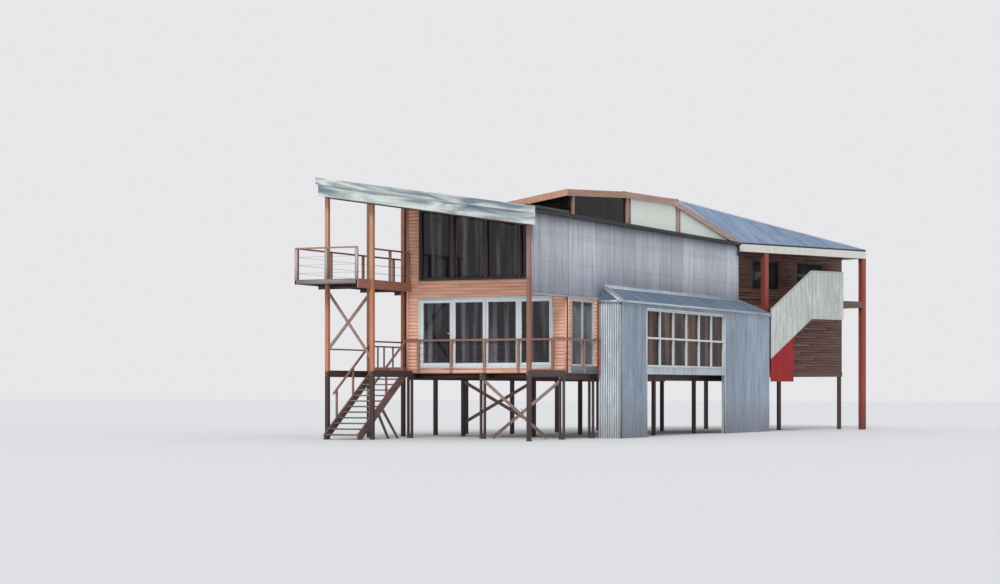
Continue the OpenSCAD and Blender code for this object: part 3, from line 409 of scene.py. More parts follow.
def make_grain():
    """Sawn timber, with the grain along x: broad figure, fine fibres and a few knots."""
    tree, given, result = effect("timber grain", [("Place", "Vector", None), ("Knots", "Float", 1.0)],
                                 [("Shade", "Float"), ("Height", "Float")])
    figure = stretched_noise(tree, given["Place"], (0.7, 13.0, 13.0), 4.0, 0.9)
    fibres = stretched_noise(tree, given["Place"], (6.0, 190.0, 190.0), 2.0)
    seed = put(tree, "VectorMath", {0: given["Place"], 1: (0.9, 6.0, 6.0)}, operation="MULTIPLY").outputs[0]
    knot = put(tree, "TexVoronoi", {"Vector": seed, "Scale": 1.0}).outputs["Distance"]
    clear = maths(tree, "MAXIMUM", spread(tree, knot, 0.05, 0.16),
                  maths(tree, "SUBTRACT", 1.0, given["Knots"]))
    broad = spread(tree, figure, 0.3, 0.7)
    shade = maths(tree, "MULTIPLY_ADD", broad, 0.62, times(tree, fibres, 0.38))
    tree.links.new(times(tree, shade, clear), result["Shade"])
    tree.links.new(maths(tree, "MULTIPLY_ADD", broad, 0.4, times(tree, fibres, 0.9)), result["Height"])
    return tree


def make_weather():
    """Weather on outside faces: runs that fall from above, patches, and damp that climbs from the ground."""
    tree, given, result = effect("weather", [("Place", "Vector", None)], [("Stain", "Float"), ("Damp", "Float")])
    runs = stretched_noise(tree, given["Place"], (7.0, 7.0, 0.45), 4.0, 0.3)
    patches = stretched_noise(tree, given["Place"], (0.8, 0.8, 0.8), 4.0)
    height = put(tree, "SeparateXYZ", {0: given["Place"]}).outputs[2]
    climb = maths(tree, "ADD", height, times(tree, runs, -0.9))
    tree.links.new(times(tree, spread(tree, runs, 0.42, 0.72), spread(tree, patches, 0.35, 0.7)),
                   result["Stain"])
    tree.links.new(spread(tree, climb, 0.9, -0.35), result["Damp"])
    return tree


def make_rolled():
    """Rolled sheet with its length along x: long soft streaks, crystal spangle and faint dents."""
    tree, given, result = effect("rolled sheet", [("Place", "Vector", None)],
                                 [("Streak", "Float"), ("Spangle", "Float"), ("Height", "Float")])
    streak = stretched_noise(tree, given["Place"], (0.55, 3.8, 3.8), 5.0, 1.4)
    cells = put(tree, "TexVoronoi", {"Vector": given["Place"], "Scale": 42.0}).outputs["Color"]
    crystal = put(tree, "SeparateColor", {0: cells}).outputs[0]
    dents = stretched_noise(tree, given["Place"], (1.1, 1.1, 1.1), 2.0)
    tree.links.new(spread(tree, streak, 0.36, 0.64), result["Streak"])
    tree.links.new(crystal, result["Spangle"])
    tree.links.new(dents, result["Height"])
    return tree


GRAIN, WEATHER, ROLLED = make_grain(), make_weather(), make_rolled()
TURNS = {"x": (0, 0, 0), "y": (0, 0, -math.pi / 2), "z": (0, math.pi / 2, 0),
         "fall": (0, -math.atan(ROOF_SLOPE), 0)}


def here_in(tree):
    return put(tree, "TexCoord").outputs["Object"]


def place_of(tree, grain):
    """The place a pattern reads: the piece's own texture map, or Object coordinates turned so the grain is on x."""
    if grain == "map":
        return put(tree, "UVMap", uv_map="grain").outputs[0]
    return put(tree, "Mapping", {"Vector": here_in(tree), "Rotation": TURNS[grain]}).outputs[0]


def weather_in(tree):
    return put(tree, "Group", {"Place": here_in(tree)}, node_tree=WEATHER).outputs


def tone_in(tree):
    return put(tree, "Attribute", attribute_name="tone").outputs["Fac"]


def scaled(colour, share):
    return tuple(share * c for c in colour)


def base(name):
    """A new finish, kept under its name in FINISHES: its node tree and its shader."""
    FINISHES[name] = made = bpy.data.materials.new(name)
    made.use_nodes = True
    return made.node_tree, made.node_tree.nodes["Principled BSDF"]


def dress(tree, shader, colour, rough, height, distance):
    """Joins a finish's colour, roughness and relief to its shader."""
    bump = put(tree, "Bump", {"Strength": 0.6, "Distance": distance, "Height": height})
    for socket, value in (("Base Color", colour), ("Roughness", rough), ("Normal", bump.outputs[0])):
        tree.links.new(value, shader.inputs[socket])


def timber(name, pale, deep, grain="map", toned=0.3, grey=0.35, foot=None, knots=1.0, spans=()):
    """Wood: pale and deep colours by grain, each board's own tone, grey weather, a dark foot (height, colour), and
    spans (axis, distance, tint) that tint what lies beyond a distance along an axis (0 is x, 1 is y, 2 is z)."""
    tree, shader = base(name)
    figure = put(tree, "Group", {"Place": place_of(tree, grain), "Knots": knots}, node_tree=GRAIN).outputs
    weather, along = weather_in(tree), put(tree, "SeparateXYZ", {0: here_in(tree)}).outputs
    colour = blend(tree, figure["Shade"], deep, pale)
    if grain == "map":
        tone = tone_in(tree)
        tones = {k: spread(tree, tone, 0.0, 1.0, 1 - toned, 1.0 + 0.12 * (2 - k) * toned) for k in range(3)}
        colour = blend(tree, 1.0, colour, put(tree, "CombineColor", tones).outputs[0], "MULTIPLY")
    silver = tuple(0.5 * sum(pale) / 3 + 0.35 * c for c in pale)
    colour = blend(tree, times(tree, weather["Stain"], grey), colour, silver)
    for axis, start, tint in spans:
        beyond = spread(tree, along[axis], start - 0.01, start + 0.01)
        colour = blend(tree, beyond, colour, blend(tree, 1.0, colour, tint, "MULTIPLY"))
    if foot:
        dark = blend(tree, figure["Shade"], scaled(foot[1], 0.5), foot[1])
        colour = blend(tree, spread(tree, along[2], foot[0] + 0.03, foot[0] - 0.03), colour, dark)
    colour = blend(tree, times(tree, weather["Damp"], 0.55), colour, (0.03, 0.027, 0.022))
    dress(tree, shader, colour, spread(tree, figure["Height"], 0.2, 1.0, 0.76, 0.52), figure["Height"], 0.0035)


def sheet_metal(name, pale, deep, grain="map", rough=0.42, metallic=0.35, spangle=0.12, toned=0.12, stain=0.3,
                rust=0.0, furrow_shade=0.0):
    """Coated or galvanised sheet: two colours in long streaks, spangle, each sheet's tone, runs of dirt and rust,
    and painted shade in the hollows between the waves: its share is (0.5 + 0.5 cos(2 pi s / PITCH))^3
    at s across the waves."""
    tree, shader = base(name)
    rolled = put(tree, "Group", {"Place": place_of(tree, grain)}, node_tree=ROLLED).outputs
    weather = weather_in(tree)
    lit = spread(tree, rolled["Spangle"], 0.0, 1.0, 1 - spangle, 1 + spangle)
    if grain == "map":
        lit = times(tree, lit, spread(tree, tone_in(tree), 0.0, 1.0, 1 - toned, 1 + toned))
    lit = put(tree, "CombineColor", {0: lit, 1: lit, 2: lit}).outputs[0]
    colour = blend(tree, 1.0, blend(tree, rolled["Streak"], deep, pale), lit, "MULTIPLY")
    dirt = times(tree, weather["Stain"], stain)
    colour = blend(tree, dirt, colour, scaled(deep, 0.42))
    # Painted shade: the hollows between the waves are darkened towards a dark copy of the deep colour.
    if furrow_shade:
        across = put(tree, "SeparateXYZ", {0: place_of(tree, "map")}).outputs[1]
        waving = maths(tree, "COSINE", times(tree, across, 2 * math.pi / PITCH))
        hollow_shade = maths(tree, "POWER", maths(tree, "MULTIPLY_ADD", waving, 0.5, 0.5), 3.0)
        colour = blend(tree, times(tree, hollow_shade, furrow_shade), colour, scaled(deep, 0.25))
    if rust:
        colour = blend(tree, times(tree, weather["Damp"], rust), colour, (0.12, 0.075, 0.05))
    shader.inputs["Metallic"].default_value = metallic
    worn = maths(tree, "MULTIPLY_ADD", rolled["Spangle"], 0.1, times(tree, dirt, 0.3))
    dress(tree, shader, colour, maths(tree, "ADD", worn, rough), rolled["Height"], 0.012)


def coat(name, colour, rough=0.35, dirt=0.25, metallic=0.0):
    """A smooth coat of paint or plastic with faint mottling, dirt in runs and slight waviness."""
    tree, shader = base(name)
    mottle = stretched_noise(tree, here_in(tree), (9.0, 9.0, 9.0), 4.0)
    shown = blend(tree, spread(tree, mottle, 0.3, 0.7, 0.0, 0.5), colour, scaled(colour, 0.86))
    shown = blend(tree, times(tree, weather_in(tree)["Stain"], dirt), shown, scaled(colour, 0.45))
    shader.inputs["Metallic"].default_value = metallic
    dress(tree, shader, shown, spread(tree, mottle, 0.3, 0.7, rough - 0.05, rough + 0.1), mottle, 0.0015)


def glazing(name, tint, through, ior=1.5, streak=(0.1, 0.1, 0.1), wide=3.0):
    """Window glass: tinted and partly see-through, with upright paler streaks of painted reflection,
    a film of dust and some waviness.
    """
    tree, shader = base(name)
    here = here_in(tree)
    film = stretched_noise(tree, here, (2.0, 2.0, 0.7), 4.0)
    upright = stretched_noise(tree, here, (wide, wide, 0.22), 3.0)
    # Painted reflection: upright streaks of the streak colour over the tint.
    shown = blend(tree, spread(tree, upright, 0.47, 0.68), tint, streak)
    shown = blend(tree, spread(tree, film, 0.4, 0.8, 0.0, 0.3), shown, scaled(tint, 1.5))
    shader.inputs["Transmission Weight"].default_value = through
    shader.inputs["IOR"].default_value = ior
    waviness = stretched_noise(tree, here, (0.9, 0.9, 0.9), 1.0)
    dress(tree, shader, shown, spread(tree, film, 0.3, 0.8, 0.02, 0.08), waviness, 0.004)


DARK_FOOT = (2.05, (0.085, 0.045, 0.047))
timber("orange boards", (0.99, 0.60, 0.44), (0.91, 0.47, 0.33), toned=0.14, grey=0.05)
timber("wall behind boards", (0.40, 0.20, 0.13), (0.24, 0.10, 0.06), grain="x", grey=0.1)
timber("oiled posts", (0.66, 0.28, 0.15), (0.43, 0.145, 0.065), grain="z", foot=DARK_FOOT, grey=0.2,
       spans=((2, UPPER, (1.08, 1.4, 1.7)), (0, 5.0, (0.52, 0.55, 0.78))))
timber("dark stilts", (0.13, 0.075, 0.072), (0.06, 0.033, 0.034), grain="z", grey=0.5)
timber("dark beams", (0.105, 0.06, 0.058), (0.05, 0.028, 0.03), grain="y", grey=0.4)
timber("dark joists", (0.10, 0.058, 0.055), (0.05, 0.03, 0.03), grey=0.3)
timber("grey-brown braces", (0.42, 0.27, 0.235), (0.25, 0.145, 0.125), grain="x", grey=0.5)
timber("pink-brown rails", (0.46, 0.25, 0.195), (0.27, 0.125, 0.095), grain="x", grey=0.45)
timber("pink-brown rail boards", (0.48, 0.26, 0.20), (0.28, 0.13, 0.10), grey=0.45)
timber("bleached posts", (0.68, 0.60, 0.54), (0.47, 0.38, 0.33), grey=0.5)
timber("grey decking", (0.40, 0.36, 0.345), (0.24, 0.205, 0.20), toned=0.35, grey=0.7)
timber("worn treads", (0.44, 0.39, 0.38), (0.26, 0.215, 0.21), toned=0.3, grey=0.6)
timber("stair strings", (0.33, 0.19, 0.165), (0.18, 0.09, 0.08), grain="y", grey=0.4)
# On the roof edge boards the spans are painted light and shade: each length between the edge's folds is tinted lighter
# or darker as it was lit.
timber("roof edge boards", (0.74, 0.42, 0.27), (0.46, 0.22, 0.13), grain="y", grey=0.45,
       spans=((1, -0.099, (0.66, 0.68, 0.75)), (1, 4.40, (1.1, 1.18, 1.3)), (1, 8.52, (1.0, 1.19, 1.29))))
timber("roof timber", (0.50, 0.27, 0.20), (0.29, 0.13, 0.10), grey=0.4)
timber("brown cheeks", (0.40, 0.20, 0.16), (0.22, 0.10, 0.08), grain="z", grey=0.2)
timber("inner rafters", (0.62, 0.36, 0.25), (0.38, 0.19, 0.12), grey=0.1)
timber("inside boards", (0.42, 0.27, 0.17), (0.26, 0.14, 0.08), grain="y", grey=0.0)
timber("landing timber", (0.44, 0.25, 0.185), (0.26, 0.125, 0.09), grain="y", grey=0.4)
timber("dark floor edges", (0.20, 0.115, 0.09), (0.10, 0.05, 0.04), grain="x", grey=0.4)
timber("dark mullions", (0.10, 0.078, 0.075), (0.05, 0.036, 0.034), grain="z", grey=0.2)
timber("dark window bars", (0.11, 0.083, 0.078), (0.055, 0.038, 0.036), grey=0.2)
timber("red-brown boards", (0.30, 0.165, 0.13), (0.17, 0.08, 0.06), toned=0.3, grey=0.3)
timber("wall behind red-brown boards", (0.15, 0.07, 0.05), (0.08, 0.035, 0.025), grain="x")
timber("red stain", (0.38, 0.085, 0.055), (0.22, 0.04, 0.026), grain="z", grey=0.15, knots=0.4)
timber("dark red board", (0.32, 0.075, 0.055), (0.18, 0.035, 0.027), grain="z", knots=0.4)
timber("red boards", (0.40, 0.015, 0.012), (0.26, 0.008, 0.008), grey=0.0, knots=0.3)
timber("soffit timber", (0.24, 0.14, 0.105), (0.12, 0.065, 0.05), grain="x", grey=0.1)
timber("deck rims", (0.55, 0.25, 0.17), (0.32, 0.12, 0.075), grain="y", grey=0.25)
timber("red panel", (0.38, 0.009, 0.009), (0.25, 0.005, 0.006), grain="z", grey=0.0, knots=0.3)

sheet_metal("pale fascia sheet", (0.73, 0.79, 0.72), (0.19, 0.24, 0.285), grain="fall", rough=0.36,
            metallic=0.3, spangle=0.05, stain=0.2)
# The bay's end and side sheets are one galvanised sheet in lit and shaded copies: the side copy is darker as painted
# shade.
sheet_metal("galvanised bay sheet", (0.76, 0.86, 0.88), (0.53, 0.62, 0.68), rust=0.4, furrow_shade=0.85)
sheet_metal("bay sheet in painted shade", (0.40, 0.47, 0.555), (0.29, 0.35, 0.44), rust=0.4, furrow_shade=0.6)
sheet_metal("galvanised flashing", (0.66, 0.74, 0.77), (0.48, 0.56, 0.62), grain="z", rust=0.4)
sheet_metal("grey wall sheet", (0.555, 0.58, 0.65), (0.445, 0.47, 0.53), toned=0.14, spangle=0.08, stain=0.35)
sheet_metal("grey wall core", (0.42, 0.44, 0.48), (0.32, 0.34, 0.38), grain="z")
sheet_metal("blue-grey roof sheet", (0.29, 0.38, 0.53), (0.19, 0.265, 0.385), toned=0.1, furrow_shade=0.5)
sheet_metal("slate-grey bay roof sheet", (0.17, 0.23, 0.315), (0.105, 0.15, 0.21), toned=0.1, furrow_shade=0.5)
sheet_metal("roof core", (0.24, 0.30, 0.38), (0.17, 0.22, 0.30), grain="x")
sheet_metal("pale ridge flashing", (0.62, 0.68, 0.73), (0.44, 0.50, 0.56), rough=0.4)
sheet_metal("pale stair cladding", (0.76, 0.79, 0.74), (0.56, 0.60, 0.57), furrow_shade=0.6)
coat("dark gutter", (0.036, 0.033, 0.038), 0.6)
coat("sheet laps", (0.17, 0.175, 0.20), 0.6, 0.3)
coat("brown wires", (0.16, 0.11, 0.10), 0.5, 0.2, 0.3)
coat("fitting steel", (0.33, 0.34, 0.36), 0.35, 0.2, 0.9)
coat("white frames", (0.76, 0.83, 0.84), 0.33, 0.2)
coat("pale bay frames", (0.74, 0.77, 0.78), 0.35, 0.3)
coat("grey-white side frames", (0.56, 0.60, 0.64), 0.35, 0.3)
coat("pale clerestory panels", (0.84, 0.90, 0.81), 0.45, 0.12)
coat("cream fascia", (0.74, 0.735, 0.67), 0.4, 0.35)
coat("grey-blue band", (0.17, 0.19, 0.22), 0.5, 0.4)
coat("black seals", (0.02, 0.02, 0.022), 0.6, 0.1)
# The streak colours of these glasses are painted reflections.
glazing("dark glass", (0.06, 0.055, 0.07), 0.8, 1.42, (0.62, 0.60, 0.66), 4.5)
glazing("bay glass", (0.06, 0.036, 0.036), 0.86, 1.16, (0.80, 0.42, 0.27), 2.2)
glazing("clerestory glass", (0.10, 0.07, 0.075), 0.96, 1.13, (0.24, 0.16, 0.15))
glazing("dim panes", (0.055, 0.062, 0.075), 0.0)

WORN = {
    "oiled posts": "porch_front_posts gallery_posts",
    "roof edge boards": "clerestory_frame clerestory_boards",
    "dark beams": "floor_beams",
    "dark stilts": "front_stilts rear_stilts",
    "grey-brown braces": "stilt_braces porch_cross_brace",
    "wall behind boards": "lower_floor front_corner_panel front_band front_right_panel side_wall left_wall_lower"
                          " left_wall_upper",
    "white frames": "door_frame middle_door_leaves left_door_leaf right_door_leaf",
    "dark glass": "middle_door_glass left_door_glass right_door_glass upper_window_glass",
    "bay glass": "bay_window_glass",
    "clerestory glass": "clerestory_glass",
    "grey-white side frames": "side_window left_glazing",
    "pale bay frames": "bay_window_frame",
    "galvanised flashing": "bay_near_leg bay_far_leg bay_beams",
    "inside boards": "bay_floor upper_floor",
    "landing timber": "entry_landing",
    "dark floor edges": "wing_floors",
    "roof core": "bay_roof main_roof raised_roof wing_roof porch_roof",
    "grey wall core": "grey_wall rear_stair_side",
    "dark mullions": "upper_window_frame wing_windows",
    "pale fascia sheet": "front_fascia",
    "pale clerestory panels": "clerestory_panels",
    "dark gutter": "gutter",
    "wall behind red-brown boards": "wing_walls",
    "red stain": "verandah_posts",
    "red panel": "rear_stair_flight",
    "cream fascia": "wing_fascia",
    "pink-brown rails": "lower_railing deck_railings stair_handrails",
    "deck rims": "deck_rims",
    "stair strings": "stair_strings stair_treads",
    "grey decking": "upper_deck",
    "soffit timber": "porch_roof_beam",
}
for finish, names in WORN.items():
    for name in names.split():
        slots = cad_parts[name].data.materials
        slots.clear()
        slots.append(FINISHES[finish])


# Walls of lapped boards. A hole with an open head reaches above every roof.
def boarded(origin, along, outward, span, holes=(), top=None):
    """Lapped boards on an upright wall over the span (u0, u1, z0, z1)."""
    return lap_boards(origin, along, outward, board_runs(*span, holes, top))


OPEN_HEAD = 9.0
SIDE_HOLE = (SIDE_LOW.y, SIDE_HIGH.y, SIDE_LOW.z, SIDE_HIGH.z)
front_holes = [(DOOR_LOW.x, DOOR_HIGH.x, DOOR_LOW.z, DOOR_HIGH.z),
               (WINDOW_LOW.x, WINDOW_HIGH.x, WINDOW_LOW.z, OPEN_HEAD), (GREY_IN, RIGHT, GREY_LOW, OPEN_HEAD)]
front_top = [(x, under_roof(x)) for x in (LEFT, RIGHT)]
left_top = [(FRONT, under_roof(LEFT)), (0.075, under_roof(LEFT)),
            (0.08, roof_line(LEFT) - RAISED_DEEP), (BACK, roof_line(LEFT) - RAISED_DEEP)]
lining_top = [(y, under_roof(GREY_IN)) for y in (GREY_Y0, FRONT)]
rear_top = [(x, roof_line(x) - RAISED_DEEP) for x in (LEFT, GREY_IN)]
for name, *wall in (
        ("front_boards", (0, FRONT, 0), X, -Y, (LEFT, RIGHT, BEAM_TOP, front_top[0][1]), front_holes, front_top),
        ("side_boards", (RIGHT, 0, 0), Y, X, (FRONT, BAY_LOW.y, BEAM_TOP, GREY_LOW), [SIDE_HOLE]),
        ("left_boards", (LEFT, 0, 0), Y, -X, (FRONT, BACK, BEAM_TOP, 7.9), LEFT_HOLES, left_top),
        ("porch_lining_boards", (GREY_IN, 0, 0), Y, -X,
         (GREY_Y0, FRONT - 0.03, GREY_LOW, lining_top[0][1]), (), lining_top)):
    piece(name, boarded(*wall), "orange boards")

WING_FAR, WING_END, WING_CEILING = WING_LEFT + 0.04, WING_LONG - 0.05, 4.58
wing_shapes = [turned(boarded(*wall)) for wall in (
    ((-VERANDAH, 0, 0), Y, X, (0.44, WING_END, FLOOR, WING_CEILING)),
    ((-VERANDAH, 0, 0), Y, X, (0.44, WING_END, UPPER, WING_EAVE), WING_WINDOWS),
    ((WING_FAR, 0, 0), Y, -X, (-2.0, WING_END, BEAM_TOP, WING_EAVE - 0.3)),
    ((0, WING_LONG - 0.04, 0), X, Y, (WING_FAR, -VERANDAH, BEAM_TOP, WING_EAVE - 0.3)))]
near_wall = RIGHT - VERANDAH / math.cos(TURN)
wing_shapes += [boarded((0, BACK, 0), X, Y, (near_wall, GREY_IN, low, high))
                for low, high in ((FLOOR, WING_CEILING), (UPPER, WING_EAVE - 0.2))]
piece("wing_boards", wing_shapes, "red-brown boards")
piece("rear_boards", boarded((0, BACK, 0), X, Y, (LEFT, GREY_IN, WING_EAVE - 0.2, rear_top[0][1]), (), rear_top),
      "orange boards")

# Trim boards at corners and round openings.
TRIM, CORNER_TOP, CASING = 0.03, 7.2, 0.06
piece("corner_boards", blocks([
    ((LEFT - TRIM, FRONT - TRIM, BEAM_TOP), (LEFT + 0.06, FRONT, CORNER_TOP)),
    ((RIGHT - 0.06, FRONT - TRIM, BEAM_TOP), (RIGHT + TRIM, FRONT, GREY_LOW)),
    ((RIGHT, FRONT - TRIM, BEAM_TOP), (RIGHT + TRIM, FRONT + 0.07, GREY_LOW)),
    ((LEFT - TRIM, FRONT - TRIM, BEAM_TOP), (LEFT, FRONT + 0.07, CORNER_TOP))]), "orange boards")
piece("side_red_board", blocks([((RIGHT, BAY_LOW.y - 0.115, BEAM_TOP - 0.2),
                                 (RIGHT + 0.05, BAY_LOW.y - 0.02, GREY_LOW - 0.002))]), "dark red board")
piece("side_band", blocks([((RIGHT + 0.012, FRONT + 0.25, BEAM_TOP - 0.02),
                            (RIGHT + 0.035, BAY_LOW.y - 0.12, FLOOR + 0.03))]), "grey-blue band")
piece("left_casings", [rims([(y0 - CASING, y1 + CASING, z0 - CASING, z1 + CASING)], LEFT - 0.035, 0.035, 0.07, "yz")
                       for y0, y1, z0, z1 in LEFT_HOLES], "orange boards")


# Grey metal wall: sheets, trims at its foot and front end, laps and screws.
def wall_sheet(origin, across, a, b, low, high, *kind):
    """A sheet on an upright wall, from a to b across and from low to high."""
    return sheet(origin, across, Z, [(a, low), (b, low), (b, high), (a, high)], *kind)


piece("grey_wall_sheets", wall_sheet((RIGHT, 0, 0), Y, GREY_Y0, BACK, GREY_LOW, GREY_TOP, fine_ribbed, FINE_STEP),
      "grey wall sheet")
piece("grey_wall_trims", blocks([
    ((RIGHT - 0.003, GREY_Y0 - 0.002, GREY_LOW - 0.012), (RIGHT + 0.03, BACK, GREY_LOW + 0.035)),
    ((GREY_IN - 0.012, GREY_Y0 - 0.014, GREY_LOW), (RIGHT + 0.022, GREY_Y0 + 0.002, 6.4)),
    ((RIGHT, GREY_Y0, GREY_LOW), (RIGHT + 0.021, GREY_Y0 + 0.07, GREY_TOP))]), "grey wall core")
lap_y = np.arange(math.ceil(GREY_Y0 / SHEET_WIDE) * SHEET_WIDE, BACK, SHEET_WIDE)
piece("grey_wall_laps", blocks([((RIGHT, y - 0.008, GREY_LOW + 0.036), (RIGHT + 0.021, y + 0.006, GREY_TOP))
                                for y in lap_y]), "sheet laps")
SCREW_ROWS = (4.5, 5.25, 6.02, 6.11)
screws = np.array([(RIGHT, y, z) for z in SCREW_ROWS for y in np.arange(GREY_Y0 + RIB, BACK, RIB)])
piece("grey_wall_screws", rods(screws + 0.004 * X, screws + 0.014 * X, 0.009, 6), "fitting steel")

# Side bay: round-waved sheets on its walls and roof, with flashings.
bay_x, bay_top = BAY_HIGH.x, BAY_HIGH.z
slant = np.array([RIGHT - bay_x, BACK - BAY_END, 0.0])
piece("bay_end_sheets", wall_sheet((0, BAY_LOW.y, 0), X, RIGHT, bay_x, 0, bay_top),
      "galvanised bay sheet", smooth=40)
# The bay's side faces take the copy of the sheet darkened as painted shade.
bay_faces = [wall_sheet((bay_x, 0, 0), Y, *face, bay_top) for face in (
    (BAY_LOW.y, BAND_LOW.y, 0), (BAND_HIGH.y, BAY_END, 0), (BAND_LOW.y, BAND_HIGH.y, BAND_HIGH.z))]
bay_faces.append(wall_sheet((bay_x, BAY_END, 0), slant, 0, np.linalg.norm(slant), 0, bay_top))
piece("bay_side_sheets", bay_faces, "bay sheet in painted shade", smooth=40)
piece("bay_flashings", blocks([
    ((bay_x - 0.05, BAY_LOW.y - 0.022, 0), (bay_x + 0.022, BAY_LOW.y, bay_top)),
    ((bay_x, BAY_LOW.y - 0.022, 0), (bay_x + 0.022, BAY_LOW.y + 0.05, bay_top)),
    ((bay_x - 0.02, BAND_LOW.y - 0.05, 0), (bay_x + 0.024, BAND_LOW.y, bay_top)),
    ((bay_x - 0.02, BAND_HIGH.y, 0), (bay_x + 0.024, BAND_HIGH.y + 0.05, bay_top)),
    ((bay_x - 0.03, BAND_LOW.y, BAND_LOW.z - 0.01), (bay_x + 0.05, BAND_HIGH.y, BAND_LOW.z + 0.015)),
    ((bay_x - 0.02, BAND_LOW.y, BAND_HIGH.z - 0.02), (bay_x + 0.035, BAND_HIGH.y, BAND_HIGH.z + 0.03)),
    ((bay_x - 0.005, BAND_LOW.y, BEAM_TOP - 0.012), (bay_x + 0.02, BAND_HIGH.y, BEAM_TOP + 0.02))]),
      "galvanised flashing")
eave_low, eave_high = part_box("bay_roof")
(eave_y0, eave_z), (eave_x, eave_y1, ridge_z) = eave_low[1:], eave_high
near_in, near_out, far_out, far_in, far_top, hip_top = np.array([
    (RIGHT, eave_y0, eave_z), (eave_x, eave_y0, eave_z), (eave_x, eave_y1, eave_z), (RIGHT, BACK, eave_z),
    (RIGHT, BACK, ridge_z), (RIGHT, BAY_LOW.y + 0.47, ridge_z)])
bay_roof_faces = [(near_in, near_out, hip_top), (near_out, far_out, far_top, hip_top), (far_out, far_in, far_top)]
piece("bay_roof_sheets", [slope_sheet(face, step=WALL_STEP) for face in bay_roof_faces],
      "slate-grey bay roof sheet", smooth=40)


def capping(a, b, left, right, wide=0.11, proud=0.026):
    """A folded strip along the line from a to b: two wings of one width that follow the faces at left and right."""
    ahead = unit(b - a)
    rows = []
    for other in (left, right):
        side = other - a
        side = unit(side - ahead * (side @ ahead))
        up = np.cross(ahead, side)
        up = up if up[2] > 0 else -up
        rows.append((a + up * proud, b + up * proud, side * wide, up * FLASHING))
    return bars(rows)


ridge_y = BAY_LOW.y + 0.45
piece("bay_ridge_flashings", [
    capping(near_out, hip_top, near_in, far_out), capping(far_out, far_top, near_out, far_in),
    blocks([((RIGHT, ridge_y, ridge_z - 0.06), (RIGHT + 0.025, BACK, ridge_z + 0.05))]),
    bars([((RIGHT, ridge_y, ridge_z + 0.01), (RIGHT, BACK, ridge_z + 0.01), (0.13, 0, -0.065), (0, 0, FLASHING))]),
    blocks([((RIGHT, eave_y0 - 0.012, eave_z - 0.04), (eave_x, eave_y0, eave_z + 0.03)),
            ((eave_x, eave_y0 - 0.012, eave_z - 0.04), (eave_x + 0.012, eave_y1, eave_z + 0.03))])],
      "pale ridge flashing")


# Roof sheets: the folded roof over the porch, the raised roof and the wing's hipped roof.
def on_roof(x, y):
    return np.array([x, y, roof_line(x)])


pop_y = EDGE[0, 0]
valleys = [valley(y) for y in EDGE[:, 0]]
edges = [np.array([RIGHT, y, z]) for y, z in EDGE]
roof_shapes = [slope_sheet([on_roof(RIGHT, ROOF_Y0), on_roof(RIGHT, pop_y), on_roof(ROOF_X0, pop_y),
                            on_roof(ROOF_X0, ROOF_Y0)]),
               slope_sheet([on_roof(ROOF_X0, BACK), on_roof(ROOF_X0, pop_y), *valleys])]
roof_shapes += [slope_sheet([valleys[k], edges[k], edges[k + 1], valleys[k + 1]], (1, 2)) for k in range(3)]
piece("main_roof_sheets", roof_shapes, "blue-grey roof sheet", smooth=40)
*eaves, peak = in_wing([(0, 0, WING_EAVE), (0, WING_LONG, WING_EAVE), (WING_LEFT, WING_LONG, WING_EAVE),
                        (WING_LEFT, WING_LEFT * math.tan(TURN), WING_EAVE), (-WING_RIDGE, 0, WING_EAVE + WING_RISE)])
piece("wing_roof_sheets", [slope_sheet([eaves[k], eaves[(k + 1) % 4], peak]) for k in range(4)],
      "blue-grey roof sheet", smooth=40)
caps = [capping(0.97 * eaves[k] + 0.03 * peak, peak, eaves[(k + 3) % 4], eaves[(k + 1) % 4], proud=0.013)
        for k in range(4)]
caps += [capping(p + 0.02 * Z, q + 0.02 * Z, p - Y, p + Y, 0.12, 0.012) for p, q in zip(edges[1:3], valleys[1:3])]
caps += [capping(p, q, p - X, p + X - 0.2 * Y, 0.12, 0.02) for p, q in zip(valleys, valleys[1:])]
piece("roof_cappings", caps, "pale ridge flashing")


# Timber under the porch roof and at the left eave; the folds along the fascia's foot and its lip.
FASCIA_FOOT, FASCIA_LIP = 0.522, 0.19


def falling(x0, x1, y, drop, deep, tall):
    """A bar's row from x0 to x1 at y that falls with the roof, its foot a drop below the roof's top."""
    return (x0, y, roof_line(x0) - drop), (x1, y, roof_line(x1) - drop), (0, deep, 0), (0, 0, tall)


piece("porch_soffit_boards", bars([falling(ROOF_X0 + 0.01, RIGHT - 0.16, y, ROOF_DEEP + 0.012, 0.132, 0.014)
                                   for y in np.arange(ROOF_Y0 + 0.01, -0.1, 0.14)]), "soffit timber")
left_top_z, left_x = roof_line(ROOF_X0), ROOF_X0 - 0.012
piece("left_roof_edge", bars([((left_x, y0, left_top_z - deep), (left_x, y1, left_top_z - deep),
                               (0.014, 0, 0), (0, 0, deep + 0.02))
                              for deep, y0, y1 in ((0.17, 0.075, BACK), (ROOF_DEEP, ROOF_Y0, 0.075))]),
      "roof timber")
fascia_x1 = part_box("front_fascia")[1].x
piece("fascia_folds", bars([falling(ROOF_X0, fascia_x1, ROOF_Y0 - 0.05, FASCIA_FOOT, 0.06, 0.012),
                            falling(ROOF_X0, fascia_x1, ROOF_Y0 - 0.108, FASCIA_LIP, 0.01, 0.014)]),
      "pale ridge flashing")

